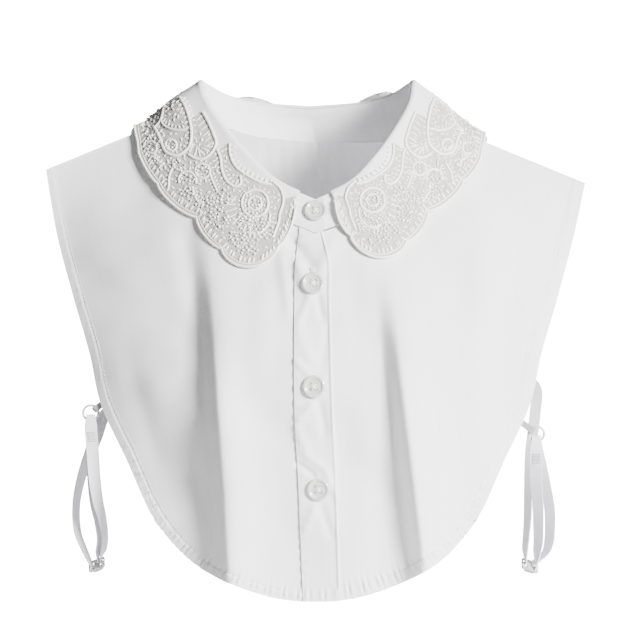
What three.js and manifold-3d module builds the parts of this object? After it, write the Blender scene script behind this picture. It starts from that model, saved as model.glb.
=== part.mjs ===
// Detachable collar: a sleeveless buttoned bib with a stand, turned-down lace leaves and an elastic
// strap at each side. Millimetres, +Z up, the front faces -Y, viewer's left is -X.
// The origin lies between the two sides of the neck, at the height where the collar sits.
import * as THREE from 'three';
import { mergeVertices } from 'three/addons/utils/BufferGeometryUtils.js';
import Module from 'manifold-3d';

const wasm = await Module();
wasm.setup();

// Cloth, webbing and plastic walls, and the air between pieces that lie on each other
const clothWall = 1.2;
const standWall = 1.6;
const leafWall = 1.0;
const laceWall = 1.0;
const webWall = 1.0;
const clearance = 0.5;
const seamGap = 1.4;
const rollGap = 0.8;
const standTopDrop = 1.7;
const ridgeGap = 0.6;

// The bib
const shoulderHalf = 184;
const bibLength = 330;
const neckHalf = 76;
const neckSideHeight = 13;
const shoulderAngle = 21;
const rightShoulderDrop = 6;
const chestDepth = 85;
const backDepth = 58;
const frontRoll = 110;
const backRoll = 70;
const rollPower = 1.7;
const sideFlattening = 0.8;
const backInset = 2.5;

// The collar: its fold line dips at the front and rises at the sides of the neck
const standSlant = 3;
const standHeight = 24;
const collarRise = 80;
const foldFrontDepth = 48;
const foldBackDepth = 38;
const foldHalf = neckHalf - standSlant;
const foldFrontHeight = neckSideHeight + standHeight - collarRise;
const collarLean = 5.6;
const standLapTurn = 5;
const standLapFade = 35;
const leafWidth = 60;
const leafSlip = 8.5;
const laceEdgeRaise = 0.9;

// The placket and its buttons
const placketWidth = 25.5;
const closingShare = 0.167;
const buttonRadius = 7.75;
const buttonDepth = 2.4;
const buttonBevel = 0.5;
const buttonHoleRadius = 0.9;
const buttonHoleSpread = 1.9;
const buttonHoleSides = 6;
const collarButtonShare = 0.608;
const firstButtonDrop = 34.3;
const buttonPitch = 69.7;
const placketButtons = 3;

// The side fastenings
const strapWidth = 8.6;
const ringRadius = 5.1;
const ringWire = 0.9;
const ringStrapShare = 0.72;
const ringSeat = 3.2;
const ringApproach = 8.7;
const tabWidth = 4.4;
const tabUnderlap = 5;
const tabAngle = 38;
const strapUnderlap = 7;
const leftStrapDrop = 103.6;
const rightStrapDrop = 90;
const leftRingStandOff = 9.6;
const rightRingStandOff = 13.6;
const rightStrapBow = 6;
const sliderThickness = 1.8;
const sliderBar = 1.4;
const sliderMiddleBar = 4.8;
const sliderSlot = 2.3;

// The bib's edge from the shoulder tip round to the foot of the centre front,
// half: share of the shoulder's half width, down: share of the bib's length
const outlineRows = [
  { half: 1.0, down: 0.133 },
  { half: 0.957, down: 0.245 },
  { half: 0.897, down: 0.369 },
  { half: 0.832, down: 0.493 },
  { half: 0.793, down: 0.591 },
  { half: 0.696, down: 0.709 },
  { half: 0.59, down: 0.833 },
  { half: 0.438, down: 0.925 },
  { half: 0.189, down: 0.987 },
  { half: 0.0, down: 1.0 },
];
const cornerRow = 6;

// How far the front and back stand out on the way down, as shares of their depths
const frontProfile = [
  { down: 0.0, depth: 0.62 },
  { down: 0.15, depth: 0.62 },
  { down: 0.35, depth: 0.83 },
  { down: 0.53, depth: 1.0 },
  { down: 0.8, depth: 0.96 },
  { down: 1.0, depth: 0.9 },
];
const backProfile = [
  { down: 0.0, depth: 1.0 },
  { down: 0.3, depth: 1.0 },
  { down: 0.6, depth: 0.88 },
  { down: 1.0, depth: 0.8 },
];

// Hanging folds of the front: ridges that grow towards the hem,
// across and spread: shares of the shoulder's half width, rise: share of the chest's depth
const foldRidges = [
  { acrossTop: -0.43, acrossFoot: -0.325, rise: 0.1, spread: 0.085 },
  { acrossTop: 0.25, acrossFoot: 0.4, rise: 0.1, spread: 0.085 },
];
const ridgeStart = 0.2;
const ridgeFull = 0.85;

// The fold line round half the neck, turn: degrees from the centre front,
// height: share of the collar's rise
const foldRows = [
  { turn: 0, height: 0.0 },
  { turn: 20, height: 0.156 },
  { turn: 37, height: 0.388 },
  { turn: 55, height: 0.638 },
  { turn: 73, height: 0.838 },
  { turn: 90, height: 1.0 },
  { turn: 110, height: 0.975 },
  { turn: 130, height: 0.888 },
  { turn: 150, height: 0.825 },
  { turn: 180, height: 0.788 },
];

// Where the scallops of a leaf meet, from its front end to the centre back. The steps from the fold
// line and the bulge of the scallop that follows are shares of the leaf's width. A row with a step
// back lies behind the shoulder, and the others lie on the front.
const scallopRows = [
  { turn: 8.5, out: 0.035, back: 0, down: 0.117, bulge: 0.07, slip: 0.4 },
  { turn: 13, out: 0.135, back: 0, down: 0.608, bulge: 0.25, slip: 0.85 },
  { turn: 24, out: 0.555, back: 0, down: 0.8, bulge: 0.07, slip: 0.6 },
  { turn: 38, out: 0.552, back: 0, down: 0.712, bulge: 0.08, slip: 0.5 },
  { turn: 62, out: 0.633, back: 0, down: 0.78, bulge: 0.07, slip: 0.2 },
  { turn: 90, out: 0.7, back: 0.03, down: 0.697, bulge: 0.1, slip: 0 },
  { turn: 110, out: 0.69, back: 0.45, down: 0.633, bulge: 0.1, slip: 0 },
  { turn: 130, out: 0.467, back: 0.7, down: 0.767, bulge: 0.1, slip: 0 },
  { turn: 155, out: 0.25, back: 0.683, down: 0.867, bulge: 0.1, slip: 0 },
  { turn: 180, out: 0, back: 0.66, down: 0.9, bulge: 0, slip: 0 },
];
const scallopSteps = 5;
const scallopFullness = 0.6;
const rollAngles = [-65, 0, 65];
const leafStations = [0.26, 0.5, 0.74, 0.92, 1.0];
const laceRaisedStations = 2;

// The placket's left edge on the way down, edge: share of the placket's width from the centre line,
// width: share of the placket's width
const placketRows = [
  { down: 0.24, edge: -0.43, width: 0.62 },
  { down: 0.3, edge: -0.53, width: 0.92 },
  { down: 0.37, edge: -0.56, width: 0.97 },
  { down: 0.6, edge: -0.56, width: 1.05 },
  { down: 0.75, edge: -0.46, width: 1.04 },
  { down: 1.0, edge: -0.33, width: 1.01 },
];

// Each side's fastening. The ring stands off the bib's edge at a share of the bib's length, and the
// strap runs from the back panel's edge down to the slider and from there up to the ring.
// out: share of the strap's width outside the ring, back: share of the way to the back panel,
// down: share of the drop to the slider, turn: how far the strap's face turns sideways, in degrees
const fastenings = [
  {
    name: 'left',
    side: -1,
    ringDown: 0.612,
    ringStandOff: leftRingStandOff,
    drop: leftStrapDrop,
    sliderOut: -0.45,
    sliderTilt: 22,
    bow: 0,
    falling: [
      { out: -0.93, back: 0.9, down: 0.03, turn: 5 },
      { out: -0.41, back: 0.72, down: 0.155, turn: 15 },
      { out: 0.23, back: 0.6, down: 0.29, turn: 35 },
      { out: 0.81, back: 0.54, down: 0.435, turn: 55 },
      { out: 1.19, back: 0.5, down: 0.61, turn: 70 },
      { out: 1.08, back: 0.48, down: 0.783, turn: 80 },
      { out: 0.5, back: 0.47, down: 0.91, turn: 88 },
    ],
    rising: [
      { out: -0.98, back: 0.45, down: 0.91, turn: 80 },
      { out: -1.1, back: 0.4, down: 0.831, turn: 68 },
      { out: -0.92, back: 0.31, down: 0.706, turn: 48 },
      { out: -0.55, back: 0.21, down: 0.58, turn: 28 },
      { out: -0.29, back: 0.12, down: 0.426, turn: 12 },
      { out: -0.14, back: 0.05, down: 0.242, turn: 0 },
    ],
  },
  {
    name: 'right',
    side: 1,
    ringDown: 0.6555,
    ringStandOff: rightRingStandOff,
    drop: rightStrapDrop,
    sliderOut: -0.5,
    sliderTilt: 20,
    bow: rightStrapBow,
    falling: [
      { out: 0.05, back: 0.95, down: -0.33, turn: 20 },
      { out: -0.03, back: 0.86, down: -0.17, turn: 15 },
      { out: -0.2, back: 0.78, down: -0.03, turn: 10 },
      { out: -0.45, back: 0.68, down: 0.14, turn: 20 },
      { out: -0.6, back: 0.58, down: 0.44, turn: 40 },
      { out: -0.67, back: 0.53, down: 0.66, turn: 60 },
      { out: -0.85, back: 0.49, down: 0.87, turn: 80 },
    ],
    rising: [
      { out: 0.05, back: 0.45, down: 0.9, turn: 75 },
      { out: 0.16, back: 0.4, down: 0.82, turn: 55 },
      { out: 0.16, back: 0.3, down: 0.68, turn: 30 },
      { out: 0.13, back: 0.21, down: 0.55, turn: 12 },
      { out: 0.0, back: 0.12, down: 0.4, turn: 5 },
      { out: -0.05, back: 0.05, down: 0.25, turn: 0 },
    ],
  },
];

// The strap's way round the slider's middle bar, across: share of half the way between the slots,
// lift: share of the strap's distance under the bar
const sliderTurn = [
  { across: -1, lift: 0.84 },
  { across: -1, lift: 0 },
  { across: -0.8, lift: -1 },
  { across: 0, lift: -1.16 },
  { across: 0.8, lift: -1 },
  { across: 1, lift: 0 },
  { across: 1, lift: 0.84 },
];

// Grid counts of the cloth sheets, the wraps and the ring
const neckColumns = 6;
const columnSpread = 1.4;
const rowSpread = 1.15;
const shoulderColumns = 7;
const panelRows = 14;
const placketColumns = 3;
const standStations = 60;
const standRows = 2;
const wrapSteps = 4;
const strapSteps = 2;
const ringSegments = 16;
const wireSegments = 6;

const { degToRad, radToDeg, lerp, smoothstep, clamp } = THREE.MathUtils;

// Reads one column of a table at any place between its rows, smoothly
function readTable(rows, along, column, value) {
  let i = 0;
  while (i < rows.length - 2 && value > rows[i + 1][along]) {
    i += 1;
  }
  const slope = (k) => {
    const low = rows[Math.max(k - 1, 0)];
    const high = rows[Math.min(k + 1, rows.length - 1)];
    return (high[column] - low[column]) / (high[along] - low[along]);
  };
  const span = rows[i + 1][along] - rows[i][along];
  const t = clamp((value - rows[i][along]) / span, 0, 1);
  const fall = (2 * t - 3) * t * t + 1;
  const start = ((t - 2) * t + 1) * t * span;
  const end = (t - 1) * t * t * span;
  return fall * rows[i][column] + (1 - fall) * rows[i + 1][column] + start * slope(i) + end * slope(i + 1);
}

// The body form: a shoulder line, and the front and back as depths behind and before it
const downShare = (z) => (neckSideHeight - z) / bibLength;
const heightAt = (down) => neckSideHeight - down * bibLength;
const shoulderDropAt = (x) => rightShoulderDrop * smoothstep(x, 0, neckHalf);

function shoulderHeight(x) {
  const slope = Math.tan(degToRad(shoulderAngle));
  return neckSideHeight - slope * (Math.abs(x) - neckHalf) - shoulderDropAt(x);
}

function rollShare(x, z, roll) {
  const below = clamp((shoulderHeight(x) - z) / roll, 0, 1);
  return 1 - (1 - below) ** rollPower;
}

const sideShare = (x) => 1 - sideFlattening * (x / shoulderHalf) ** 2;

function ridgeShare(x, z) {
  const down = downShare(z);
  const grown = smoothstep(down, ridgeStart, ridgeFull);
  let total = 0;
  for (const ridge of foldRidges) {
    const crest = lerp(ridge.acrossTop, ridge.acrossFoot, down) * shoulderHalf;
    total += ridge.rise * Math.exp(-(((x - crest) / (ridge.spread * shoulderHalf)) ** 2));
  }
  return grown * total;
}

function frontY(x, z) {
  const profile = readTable(frontProfile, 'down', 'depth', downShare(z));
  return -chestDepth * (profile * sideShare(x) * rollShare(x, z, frontRoll) + ridgeShare(x, z));
}

function backY(x, z) {
  const profile = readTable(backProfile, 'down', 'depth', downShare(z));
  return backDepth * profile * sideShare(x) * rollShare(x, z, backRoll);
}

function frontNormal(x, z) {
  const step = 1;
  const acrossSlope = (frontY(x + step, z) - frontY(x - step, z)) / (2 * step);
  const upSlope = (frontY(x, z + step) - frontY(x, z - step)) / (2 * step);
  return new THREE.Vector3(acrossSlope, -1, upSlope).normalize();
}

// The neck: the walk goes round from the centre front by the viewer's left and the back,
// in degrees, and may run past the centre front at both ends, where the stand laps
const neckTurn = (walk) => Math.abs(((walk + 180) % 360) - 180);
const foldHeight = (walk) => foldFrontHeight + collarRise * readTable(foldRows, 'turn', 'height', neckTurn(walk));
const lapStep = standWall + clearance;
const lapAt = (walk) => (walk < 180 ? lapStep * (1 - smoothstep(walk, 0, standLapFade)) : 0);

function neckSeam(walk) {
  const x = -neckHalf * Math.sin(degToRad(walk));
  const z = foldHeight(walk) - standHeight - shoulderDropAt(x);
  const y = neckTurn(walk) < 90 ? frontY(x, z) : backY(x, z);
  return new THREE.Vector3(x, y - lapAt(walk), z);
}

function foldPoint(walk) {
  const z = foldHeight(walk);
  const lean = collarLean * ((z - foldFrontHeight) / collarRise);
  const x = -foldHalf * Math.sin(degToRad(walk)) - lean;
  const depth = neckTurn(walk) < 90 ? foldFrontDepth : foldBackDepth;
  return new THREE.Vector3(x, -depth * Math.cos(degToRad(walk)) - lapAt(walk), z);
}

// The level direction that points out of the neck, square to the fold line
function foldOutward(walk) {
  const step = 1.5;
  const along = foldPoint(walk + step).sub(foldPoint(walk - step));
  return new THREE.Vector3(-along.y, along.x, 0).normalize();
}

// The outward direction at each point of a grid whose rows run down and columns to the right
function gridNormals(grid) {
  const rows = grid.length;
  const columns = grid[0].length;
  const at = (r, c) => grid[clamp(r, 0, rows - 1)][clamp(c, 0, columns - 1)];
  return grid.map((row, r) => row.map((_, c) => {
    const down = at(r + 1, c).clone().sub(at(r - 1, c));
    const across = at(r, c + 1).clone().sub(at(r, c - 1));
    return across.cross(down).normalize();
  }));
}

// Turns a grid of points into a closed sheet with a wall. The settings are distances out and in from
// the grid, its normals where they are known, and functions that change a corner's direction or wall.
function sheetSolid(grid, settings) {
  const rows = grid.length;
  const columns = grid[0].length;
  const normals = settings.normals ?? gridNormals(grid);
  const out = [];
  const inside = [];
  for (let r = 0; r < rows; r += 1) {
    for (let c = 0; c < columns; c += 1) {
      const normal = normals[r][c];
      const direction = settings.directionAt ? settings.directionAt(normal, r, c) : normal;
      const raise = settings.raiseAt ? settings.raiseAt(r, c) : 0;
      out.push(grid[r][c].clone().addScaledVector(direction, settings.out + raise));
      inside.push(grid[r][c].clone().addScaledVector(direction, -settings.in));
    }
  }
  const points = [...out, ...inside];
  const faces = [];
  const quad = (a, b, c, d) => faces.push(a, b, c, a, c, d);
  const index = (r, c) => r * columns + c;
  const under = out.length;
  for (let r = 0; r < rows - 1; r += 1) {
    for (let c = 0; c < columns - 1; c += 1) {
      const corners = [index(r, c), index(r + 1, c), index(r + 1, c + 1), index(r, c + 1)];
      quad(...corners);
      quad(...corners.map((corner) => corner + under).reverse());
    }
  }
  const rim = [];
  for (let c = 0; c < columns - 1; c += 1) {
    rim.push([index(0, c), index(0, c + 1)], [index(rows - 1, c + 1), index(rows - 1, c)]);
  }
  for (let r = 0; r < rows - 1; r += 1) {
    rim.push([index(r + 1, 0), index(r, 0)], [index(r, columns - 1), index(r + 1, columns - 1)]);
  }
  for (const [from, to] of rim) {
    quad(from, to, to + under, from + under);
  }
  return closedGeometry(points, faces);
}

// A geometry from points and triangles, turned so that its faces point out
function closedGeometry(points, faces) {
  let volume = 0;
  for (let i = 0; i < faces.length; i += 3) {
    const [a, b, c] = [points[faces[i]], points[faces[i + 1]], points[faces[i + 2]]];
    volume += a.dot(b.clone().cross(c));
  }
  const turned = volume < 0 ? faces.slice().reverse() : faces;
  const geometry = new THREE.BufferGeometry().setFromPoints(points);
  geometry.setIndex(turned);
  geometry.computeVertexNormals();
  return geometry;
}

// Solids for joining and cutting
function toSolid(geometry) {
  const bare = geometry.clone();
  bare.deleteAttribute('normal');
  bare.deleteAttribute('uv');
  const merged = mergeVertices(bare);
  const vertProperties = new Float32Array(merged.attributes.position.array);
  const triVerts = new Uint32Array(merged.index.array);
  return new wasm.Manifold(new wasm.Mesh({ numProp: 3, vertProperties, triVerts }));
}

function fromSolid(solid) {
  const { vertProperties, triVerts } = solid.getMesh();
  const geometry = new THREE.BufferGeometry();
  geometry.setAttribute('position', new THREE.BufferAttribute(vertProperties, 3));
  geometry.setIndex(new THREE.BufferAttribute(triVerts, 1));
  geometry.computeVertexNormals();
  return geometry;
}

// The bib's edge as a curve over the whole width, so that it is smooth at the foot
function outlineCurve(side, inset) {
  const half = outlineRows.map((row, i) => {
    const x = side * Math.max(row.half * shoulderHalf - inset, 0);
    const z = i === 0 ? shoulderHeight(x) : heightAt(row.down) + inset;
    return new THREE.Vector3(x, 0, z);
  });
  const mirrored = half.slice(0, -1).reverse().map((point) => new THREE.Vector3(-point.x, 0, point.z));
  const curve = new THREE.CatmullRomCurve3([...half, ...mirrored], false, 'centripetal');
  const spans = half.length + mirrored.length - 1;
  return (row) => curve.getPoint(row / spans);
}

// The place on the edge, in rows of the outline's table, where it stands this far from the middle
function rowAtX(edge, x, side) {
  let low = cornerRow;
  let high = outlineRows.length - 1 + 0.9;
  for (let i = 0; i < 40; i += 1) {
    const middle = (low + high) / 2;
    if ((edge(middle).x - x) * side > 0) {
      low = middle;
    } else {
      high = middle;
    }
  }
  return low;
}

// A half panel as a grid of points: rows run from the neck and shoulder down to the foot, columns
// from the middle edge out to the armhole. Its four edges are blended across the width and height.
function halfPanelGrid({ side, startTurn, middleX, seamAt, surface, inset }) {
  const edge = outlineCurve(side, inset);
  const columns = neckColumns + shoulderColumns;
  const reach = shoulderHalf - inset;
  const top = (s) => {
    const column = s * columns;
    if (column <= neckColumns) {
      const seam = seamAt(lerp(startTurn, 90, (column / neckColumns) ** columnSpread));
      return new THREE.Vector3(seam.x * (1 + seamGap / neckHalf), 0, seam.z - seamGap);
    }
    const x = side * lerp(neckHalf + seamGap, reach, (column - neckColumns) / shoulderColumns);
    return new THREE.Vector3(x, 0, shoulderHeight(x));
  };
  const footRow = rowAtX(edge, middleX(1), side);
  const foot = (s) => edge(lerp(footRow, cornerRow, s));
  const armhole = (t) => edge(lerp(0, cornerRow, t));
  const start = top(0).z;
  const end = foot(0).z;
  const middle = (t) => new THREE.Vector3(middleX(downShare(lerp(start, end, t))), 0, lerp(start, end, t));
  const grid = [];
  for (let r = 0; r <= panelRows; r += 1) {
    const t = (r / panelRows) ** rowSpread;
    const row = [];
    for (let c = 0; c <= columns; c += 1) {
      const s = c / columns;
      const point = new THREE.Vector3();
      point.addScaledVector(top(s), 1 - t).addScaledVector(foot(s), t);
      point.addScaledVector(middle(t), 1 - s).addScaledVector(armhole(t), s);
      point.addScaledVector(top(0), -(1 - s) * (1 - t)).addScaledVector(top(1), -s * (1 - t));
      point.addScaledVector(foot(0), -(1 - s) * t).addScaledVector(foot(1), -s * t);
      point.y = surface(point.x, point.z);
      row.push(point);
    }
    grid.push(row);
  }
  return grid;
}

// Along the shoulder the sheets end in an upright cut, so that front and back meet edge to edge
function shoulderCut(isShoulder) {
  return (normal, r, c) => {
    if (r > 0 || !isShoulder(c)) {
      return normal;
    }
    return new THREE.Vector3(0, 0, 1 / normal.z);
  };
}

const placketEdge = (down) => placketWidth * readTable(placketRows, 'down', 'edge', down);
const placketSpan = (down) => placketWidth * readTable(placketRows, 'down', 'width', down);
const closingLine = (down) => placketEdge(down) + closingShare * placketWidth;

function frontPanel(side) {
  const surface = (x, z) => Math.min(frontY(x, z), -ridgeGap / 2);
  const middleX = (down) => closingLine(down) + (side * clearance) / 2;
  const startTurn = radToDeg(side * Math.asin(middleX(downShare(neckSeam(0).z)) / neckHalf));
  const seamAt = (turn) => {
    const seam = neckSeam(side > 0 ? 360 - Math.max(turn, 0) : turn);
    return turn < 0 ? seam.setX(neckHalf * Math.sin(degToRad(turn))) : seam;
  };
  const grid = halfPanelGrid({ side, startTurn, middleX, seamAt, surface, inset: 0 });
  const half = clothWall / 2;
  return sheetSolid(grid, { out: half, in: half, directionAt: shoulderCut((c) => c > neckColumns) });
}

function backPanel() {
  const surface = (x, z) => Math.max(backY(x, z), ridgeGap / 2);
  const halves = [-1, 1].map((side) => {
    const seamAt = (turn) => neckSeam(side < 0 ? 180 - turn : 180 + turn);
    return halfPanelGrid({ side, startTurn: 0, middleX: () => 0, seamAt, surface, inset: backInset });
  });
  const grid = halves[0].map((row, r) => [...row.slice(1).reverse(), ...halves[1][r]]);
  const middle = neckColumns + shoulderColumns;
  const half = clothWall / 2;
  const isShoulder = (c) => Math.abs(c - middle) > neckColumns;
  return sheetSolid(grid, { out: half, in: half, directionAt: shoulderCut(isShoulder) });
}

// The placket lies on both fronts and follows them
const placketLift = clothWall + clearance;

function placket() {
  const grid = [];
  const start = downShare(neckSeam(0).z - seamGap);
  const edge = outlineCurve(1, 0);
  for (let r = 0; r <= panelRows; r += 1) {
    const row = [];
    for (let c = 0; c <= placketColumns; c += 1) {
      const share = c / placketColumns;
      const foot = placketEdge(1) + share * placketSpan(1);
      const footRow = rowAtX(edge, Math.abs(foot), 1);
      const end = downShare(edge(footRow).z);
      const down = lerp(start, end, (r / panelRows) ** rowSpread);
      const x = placketEdge(down) + share * placketSpan(down);
      const z = heightAt(down);
      row.push(new THREE.Vector3(x, frontY(x, z) - placketLift, z));
    }
    grid.push(row);
  }
  return sheetSolid(grid, { out: clothWall / 2, in: clothWall / 2 });
}

// The leaf rolls over the stand's top edge with this radius, and lies this far off the bib's middle,
// measured level, or upwards near the ridge of the shoulder
const rollRadius = standWall / 2 + rollGap + leafWall / 2;
const leafLift = (clothWall + leafWall) / 2 + 2 * clearance;
const ridgeZone = 14;
const ridgeLift = 2 * leafLift;
const standReach = 0.85;

function collarStand() {
  const grid = [];
  for (let r = 0; r <= standRows; r += 1) {
    const row = [];
    for (let c = -1; c <= standStations + 1; c += 1) {
      const walk = clamp((c * 360) / standStations, -standLapTurn, 360 + standLapTurn);
      const top = foldPoint(walk);
      top.z -= standTopDrop * rollRadius;
      row.push(top.lerp(neckSeam(walk), r / standRows));
    }
    grid.push(row);
  }
  return sheetSolid(grid, { out: standWall / 2, in: standWall / 2 });
}

// A point where two scallops meet, on the front or behind the shoulder
function scallopCorner(side, row) {
  const walk = side < 0 ? row.turn : 360 - row.turn;
  const corner = foldPoint(walk);
  const slip = (side * leafSlip * row.slip) / 2;
  corner.x += side * row.out * leafWidth;
  corner.y += row.back * leafWidth;
  corner.z += slip - row.down * leafWidth;
  return clearOfBib(corner, row.turn);
}

// Keeps a leaf's point off the bib: above its shoulder ridge, before its front or behind its back
function clearOfBib(point, turn) {
  const { x, y, z } = point;
  const isFront = turn < 90;
  if (isFront && Math.abs(x) < standReach * neckHalf && z > standAt(x, 0).z) {
    point.y = Math.min(y, standY(x, z) - leafLift);
  } else if (z < shoulderHeight(x) - ridgeZone) {
    point.y = isFront ? Math.min(y, frontY(x, z) - leafLift) : Math.max(y, backY(x, z) + leafLift);
  } else {
    point.z = Math.max(z, roofHeight(x, y) + ridgeLift);
  }
  return point;
}

// The stand's front at a place across, from its seam at share 0 to its top at share 1
function standAt(x, share) {
  const turn = radToDeg(Math.asin(x / neckHalf));
  const walk = x < 0 ? -turn : 360 - turn;
  return neckSeam(walk).lerp(foldPoint(walk), share);
}

function standY(x, z) {
  const foot = standAt(x, 0);
  const top = standAt(x, 1);
  return lerp(foot.y, top.y, clamp((z - foot.z) / (top.z - foot.z), 0, 1));
}

// The height of the bib's top at a place near the shoulder ridge
function roofHeight(x, y) {
  const isFront = y < 0;
  const depth = (isFront ? chestDepth * frontProfile[0].depth : backDepth) * sideShare(x);
  const share = 1 - (1 - Math.min(Math.abs(y) / depth, 1)) ** (1 / rollPower);
  return shoulderHeight(x) - share * (isFront ? frontRoll : backRoll);
}

// One column of the leaf: it rolls over the fold line, then runs straight to the scalloped edge
function leafColumn(side, turn, edge) {
  const walk = side < 0 ? turn : 360 - turn;
  const fold = foldPoint(walk);
  const outward = foldOutward(walk);
  const rolled = (angle) => {
    const point = fold.clone().addScaledVector(outward, rollRadius * Math.sin(degToRad(angle)));
    point.z -= rollRadius * (1 - Math.cos(degToRad(angle)));
    return point;
  };
  const last = rolled(rollAngles[rollAngles.length - 1]);
  const flat = leafStations.map((share) => clearOfBib(last.clone().lerp(edge, share), turn));
  return [...rollAngles.map(rolled), ...flat];
}

function halfLeaf(side) {
  const columns = [];
  for (let i = 0; i < scallopRows.length - 1; i += 1) {
    const [row, next] = [scallopRows[i], scallopRows[i + 1]];
    const [from, to] = [scallopCorner(side, row), scallopCorner(side, next)];
    const chord = to.clone().sub(from).normalize();
    const steps = i === scallopRows.length - 2 ? scallopSteps : scallopSteps - 1;
    for (let k = 0; k <= steps; k += 1) {
      const share = (1 - Math.cos((Math.PI * k) / scallopSteps)) / 2;
      const turn = lerp(row.turn, next.turn, share);
      const edge = from.clone().lerp(to, share);
      const ruling = edge.clone().sub(foldPoint(side < 0 ? turn : 360 - turn));
      const outward = ruling.addScaledVector(chord, -ruling.dot(chord)).normalize();
      edge.addScaledVector(outward, row.bulge * leafWidth * (1 - (2 * share - 1) ** 2) ** scallopFullness);
      columns.push(leafColumn(side, turn, clearOfBib(edge, turn)));
    }
  }
  return columns;
}

const asRows = (columns) => columns[0].map((_, r) => columns.map((column) => column[r]));

function collarFall() {
  const columns = [...halfLeaf(-1), ...halfLeaf(1).reverse().slice(1)];
  return sheetSolid(asRows(columns), { out: leafWall / 2, in: leafWall / 2 });
}

// The lace lies on the outer part of one leaf, and its corded edge stands up
function lace(side) {
  const columns = halfLeaf(side);
  const leaf = asRows(side < 0 ? columns : columns.reverse());
  const first = rollAngles.length;
  const kept = (rows) => rows.slice(first).map((row) => row.slice(1, -1));
  const raisedFrom = leafStations.length - laceRaisedStations;
  const base = leafWall / 2 + clearance;
  return sheetSolid(kept(leaf), {
    out: base + laceWall,
    in: -base,
    normals: kept(gridNormals(leaf)),
    raiseAt: (r) => (r >= raisedFrom ? laceEdgeRaise : 0),
  });
}

// A four-hole button, its back on the plane z = 0
function buttonGeometry() {
  const face = new THREE.Shape().absarc(0, 0, buttonRadius - buttonBevel, 0, 2 * Math.PI);
  for (const [x, y] of [[1, 1], [-1, 1], [-1, -1], [1, -1]]) {
    const corners = [];
    for (let i = 0; i < buttonHoleSides; i += 1) {
      const angle = (i * 2 * Math.PI) / buttonHoleSides;
      const spread = buttonHoleSpread;
      const reach = buttonHoleRadius + buttonBevel;
      corners.push(new THREE.Vector2(x * spread + reach * Math.cos(angle), y * spread + reach * Math.sin(angle)));
    }
    face.holes.push(new THREE.Path(corners));
  }
  const geometry = new THREE.ExtrudeGeometry(face, {
    depth: buttonDepth - 2 * buttonBevel,
    bevelThickness: buttonBevel,
    bevelSize: buttonBevel,
    bevelSegments: 1,
    curveSegments: 8,
  });
  return geometry.translate(0, 0, buttonBevel);
}

// A flat ribbon swept along a path of stations, each with a place, a width direction and a width
function ribbonSolid(stations) {
  const points = [];
  const faces = [];
  stations.forEach((station, i) => {
    const before = stations[Math.max(i - 1, 0)].place;
    const after = stations[Math.min(i + 1, stations.length - 1)].place;
    const along = after.clone().sub(before).normalize();
    const across = station.across.clone().addScaledVector(along, -station.across.dot(along)).normalize();
    const face = along.clone().cross(across);
    for (const [w, f] of [[-1, -1], [1, -1], [1, 1], [-1, 1]]) {
      const corner = station.place.clone().addScaledVector(across, (w * station.width) / 2);
      points.push(corner.addScaledVector(face, (f * webWall) / 2));
    }
  });
  for (let i = 0; i < stations.length - 1; i += 1) {
    for (let k = 0; k < 4; k += 1) {
      const [a, b] = [4 * i + k, 4 * i + ((k + 1) % 4)];
      faces.push(a, b, b + 4, a, b + 4, a + 4);
    }
  }
  const last = points.length - 4;
  faces.push(0, 2, 1, 0, 3, 2, last, last + 1, last + 2, last, last + 2, last + 3);
  return closedGeometry(points, faces);
}

// Smooths a list of stations with a curve through them
function smoothStations(stations, steps) {
  const places = new THREE.CatmullRomCurve3(stations.map((station) => station.place), false, 'centripetal');
  const smooth = [];
  const count = (stations.length - 1) * steps;
  for (let i = 0; i <= count; i += 1) {
    const at = i / steps;
    const low = Math.min(Math.floor(at), stations.length - 2);
    const [a, b] = [stations[low], stations[low + 1]];
    smooth.push({
      place: places.getPoint(i / count),
      across: a.across.clone().lerp(b.across, at - low),
      width: lerp(a.width, b.width, at - low),
    });
  }
  return smooth;
}

// The air between a strap and a wire or a layer that it turns round
const wrapRadius = ringWire + clearance + webWall / 2;

// Where one side's ring, tab, strap and slider are
function fasteningFrame(fastening) {
  const { side, ringDown, ringStandOff, drop } = fastening;
  const ringHeight = heightAt(ringDown);
  const outlineX = (z, inset) => {
    const edge = outlineCurve(1, inset);
    let row = 0;
    while (edge(row).z > z) {
      row += 0.02;
    }
    return edge(row).x;
  };
  const tabHeight = ringHeight + ringRadius;
  const tabX = side * outlineX(tabHeight, 0);
  const ringX = side * (outlineX(ringHeight, 0) + ringStandOff);
  const behind = clothWall + 2 * clearance;
  const ringY = frontY(tabX, tabHeight) + behind + webWall / 2 + wrapRadius;
  const anchorHeight = ringHeight - fastening.falling[0].down * drop + strapUnderlap;
  const anchorX = side * (outlineX(anchorHeight, backInset) - strapWidth / 4);
  const anchorEdge = side * outlineX(anchorHeight + strapUnderlap, backInset);
  const anchorY = backY(anchorEdge, anchorHeight) - clothWall - clearance - webWall / 2;
  const ring = new THREE.Vector3(ringX, ringY, ringHeight);
  const anchor = new THREE.Vector3(anchorX, anchorY, anchorHeight);
  const sliderY = lerp(ringY, anchorY, fastening.falling[fastening.falling.length - 1].back);
  const sliderX = ring.x + side * fastening.sliderOut * strapWidth;
  const slider = new THREE.Vector3(sliderX, sliderY, ringHeight - drop);
  return { ring, anchor, slider, tabX };
}

const acrossAt = (turn) => new THREE.Vector3(Math.cos(degToRad(turn)), Math.sin(degToRad(turn)), 0);

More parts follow.
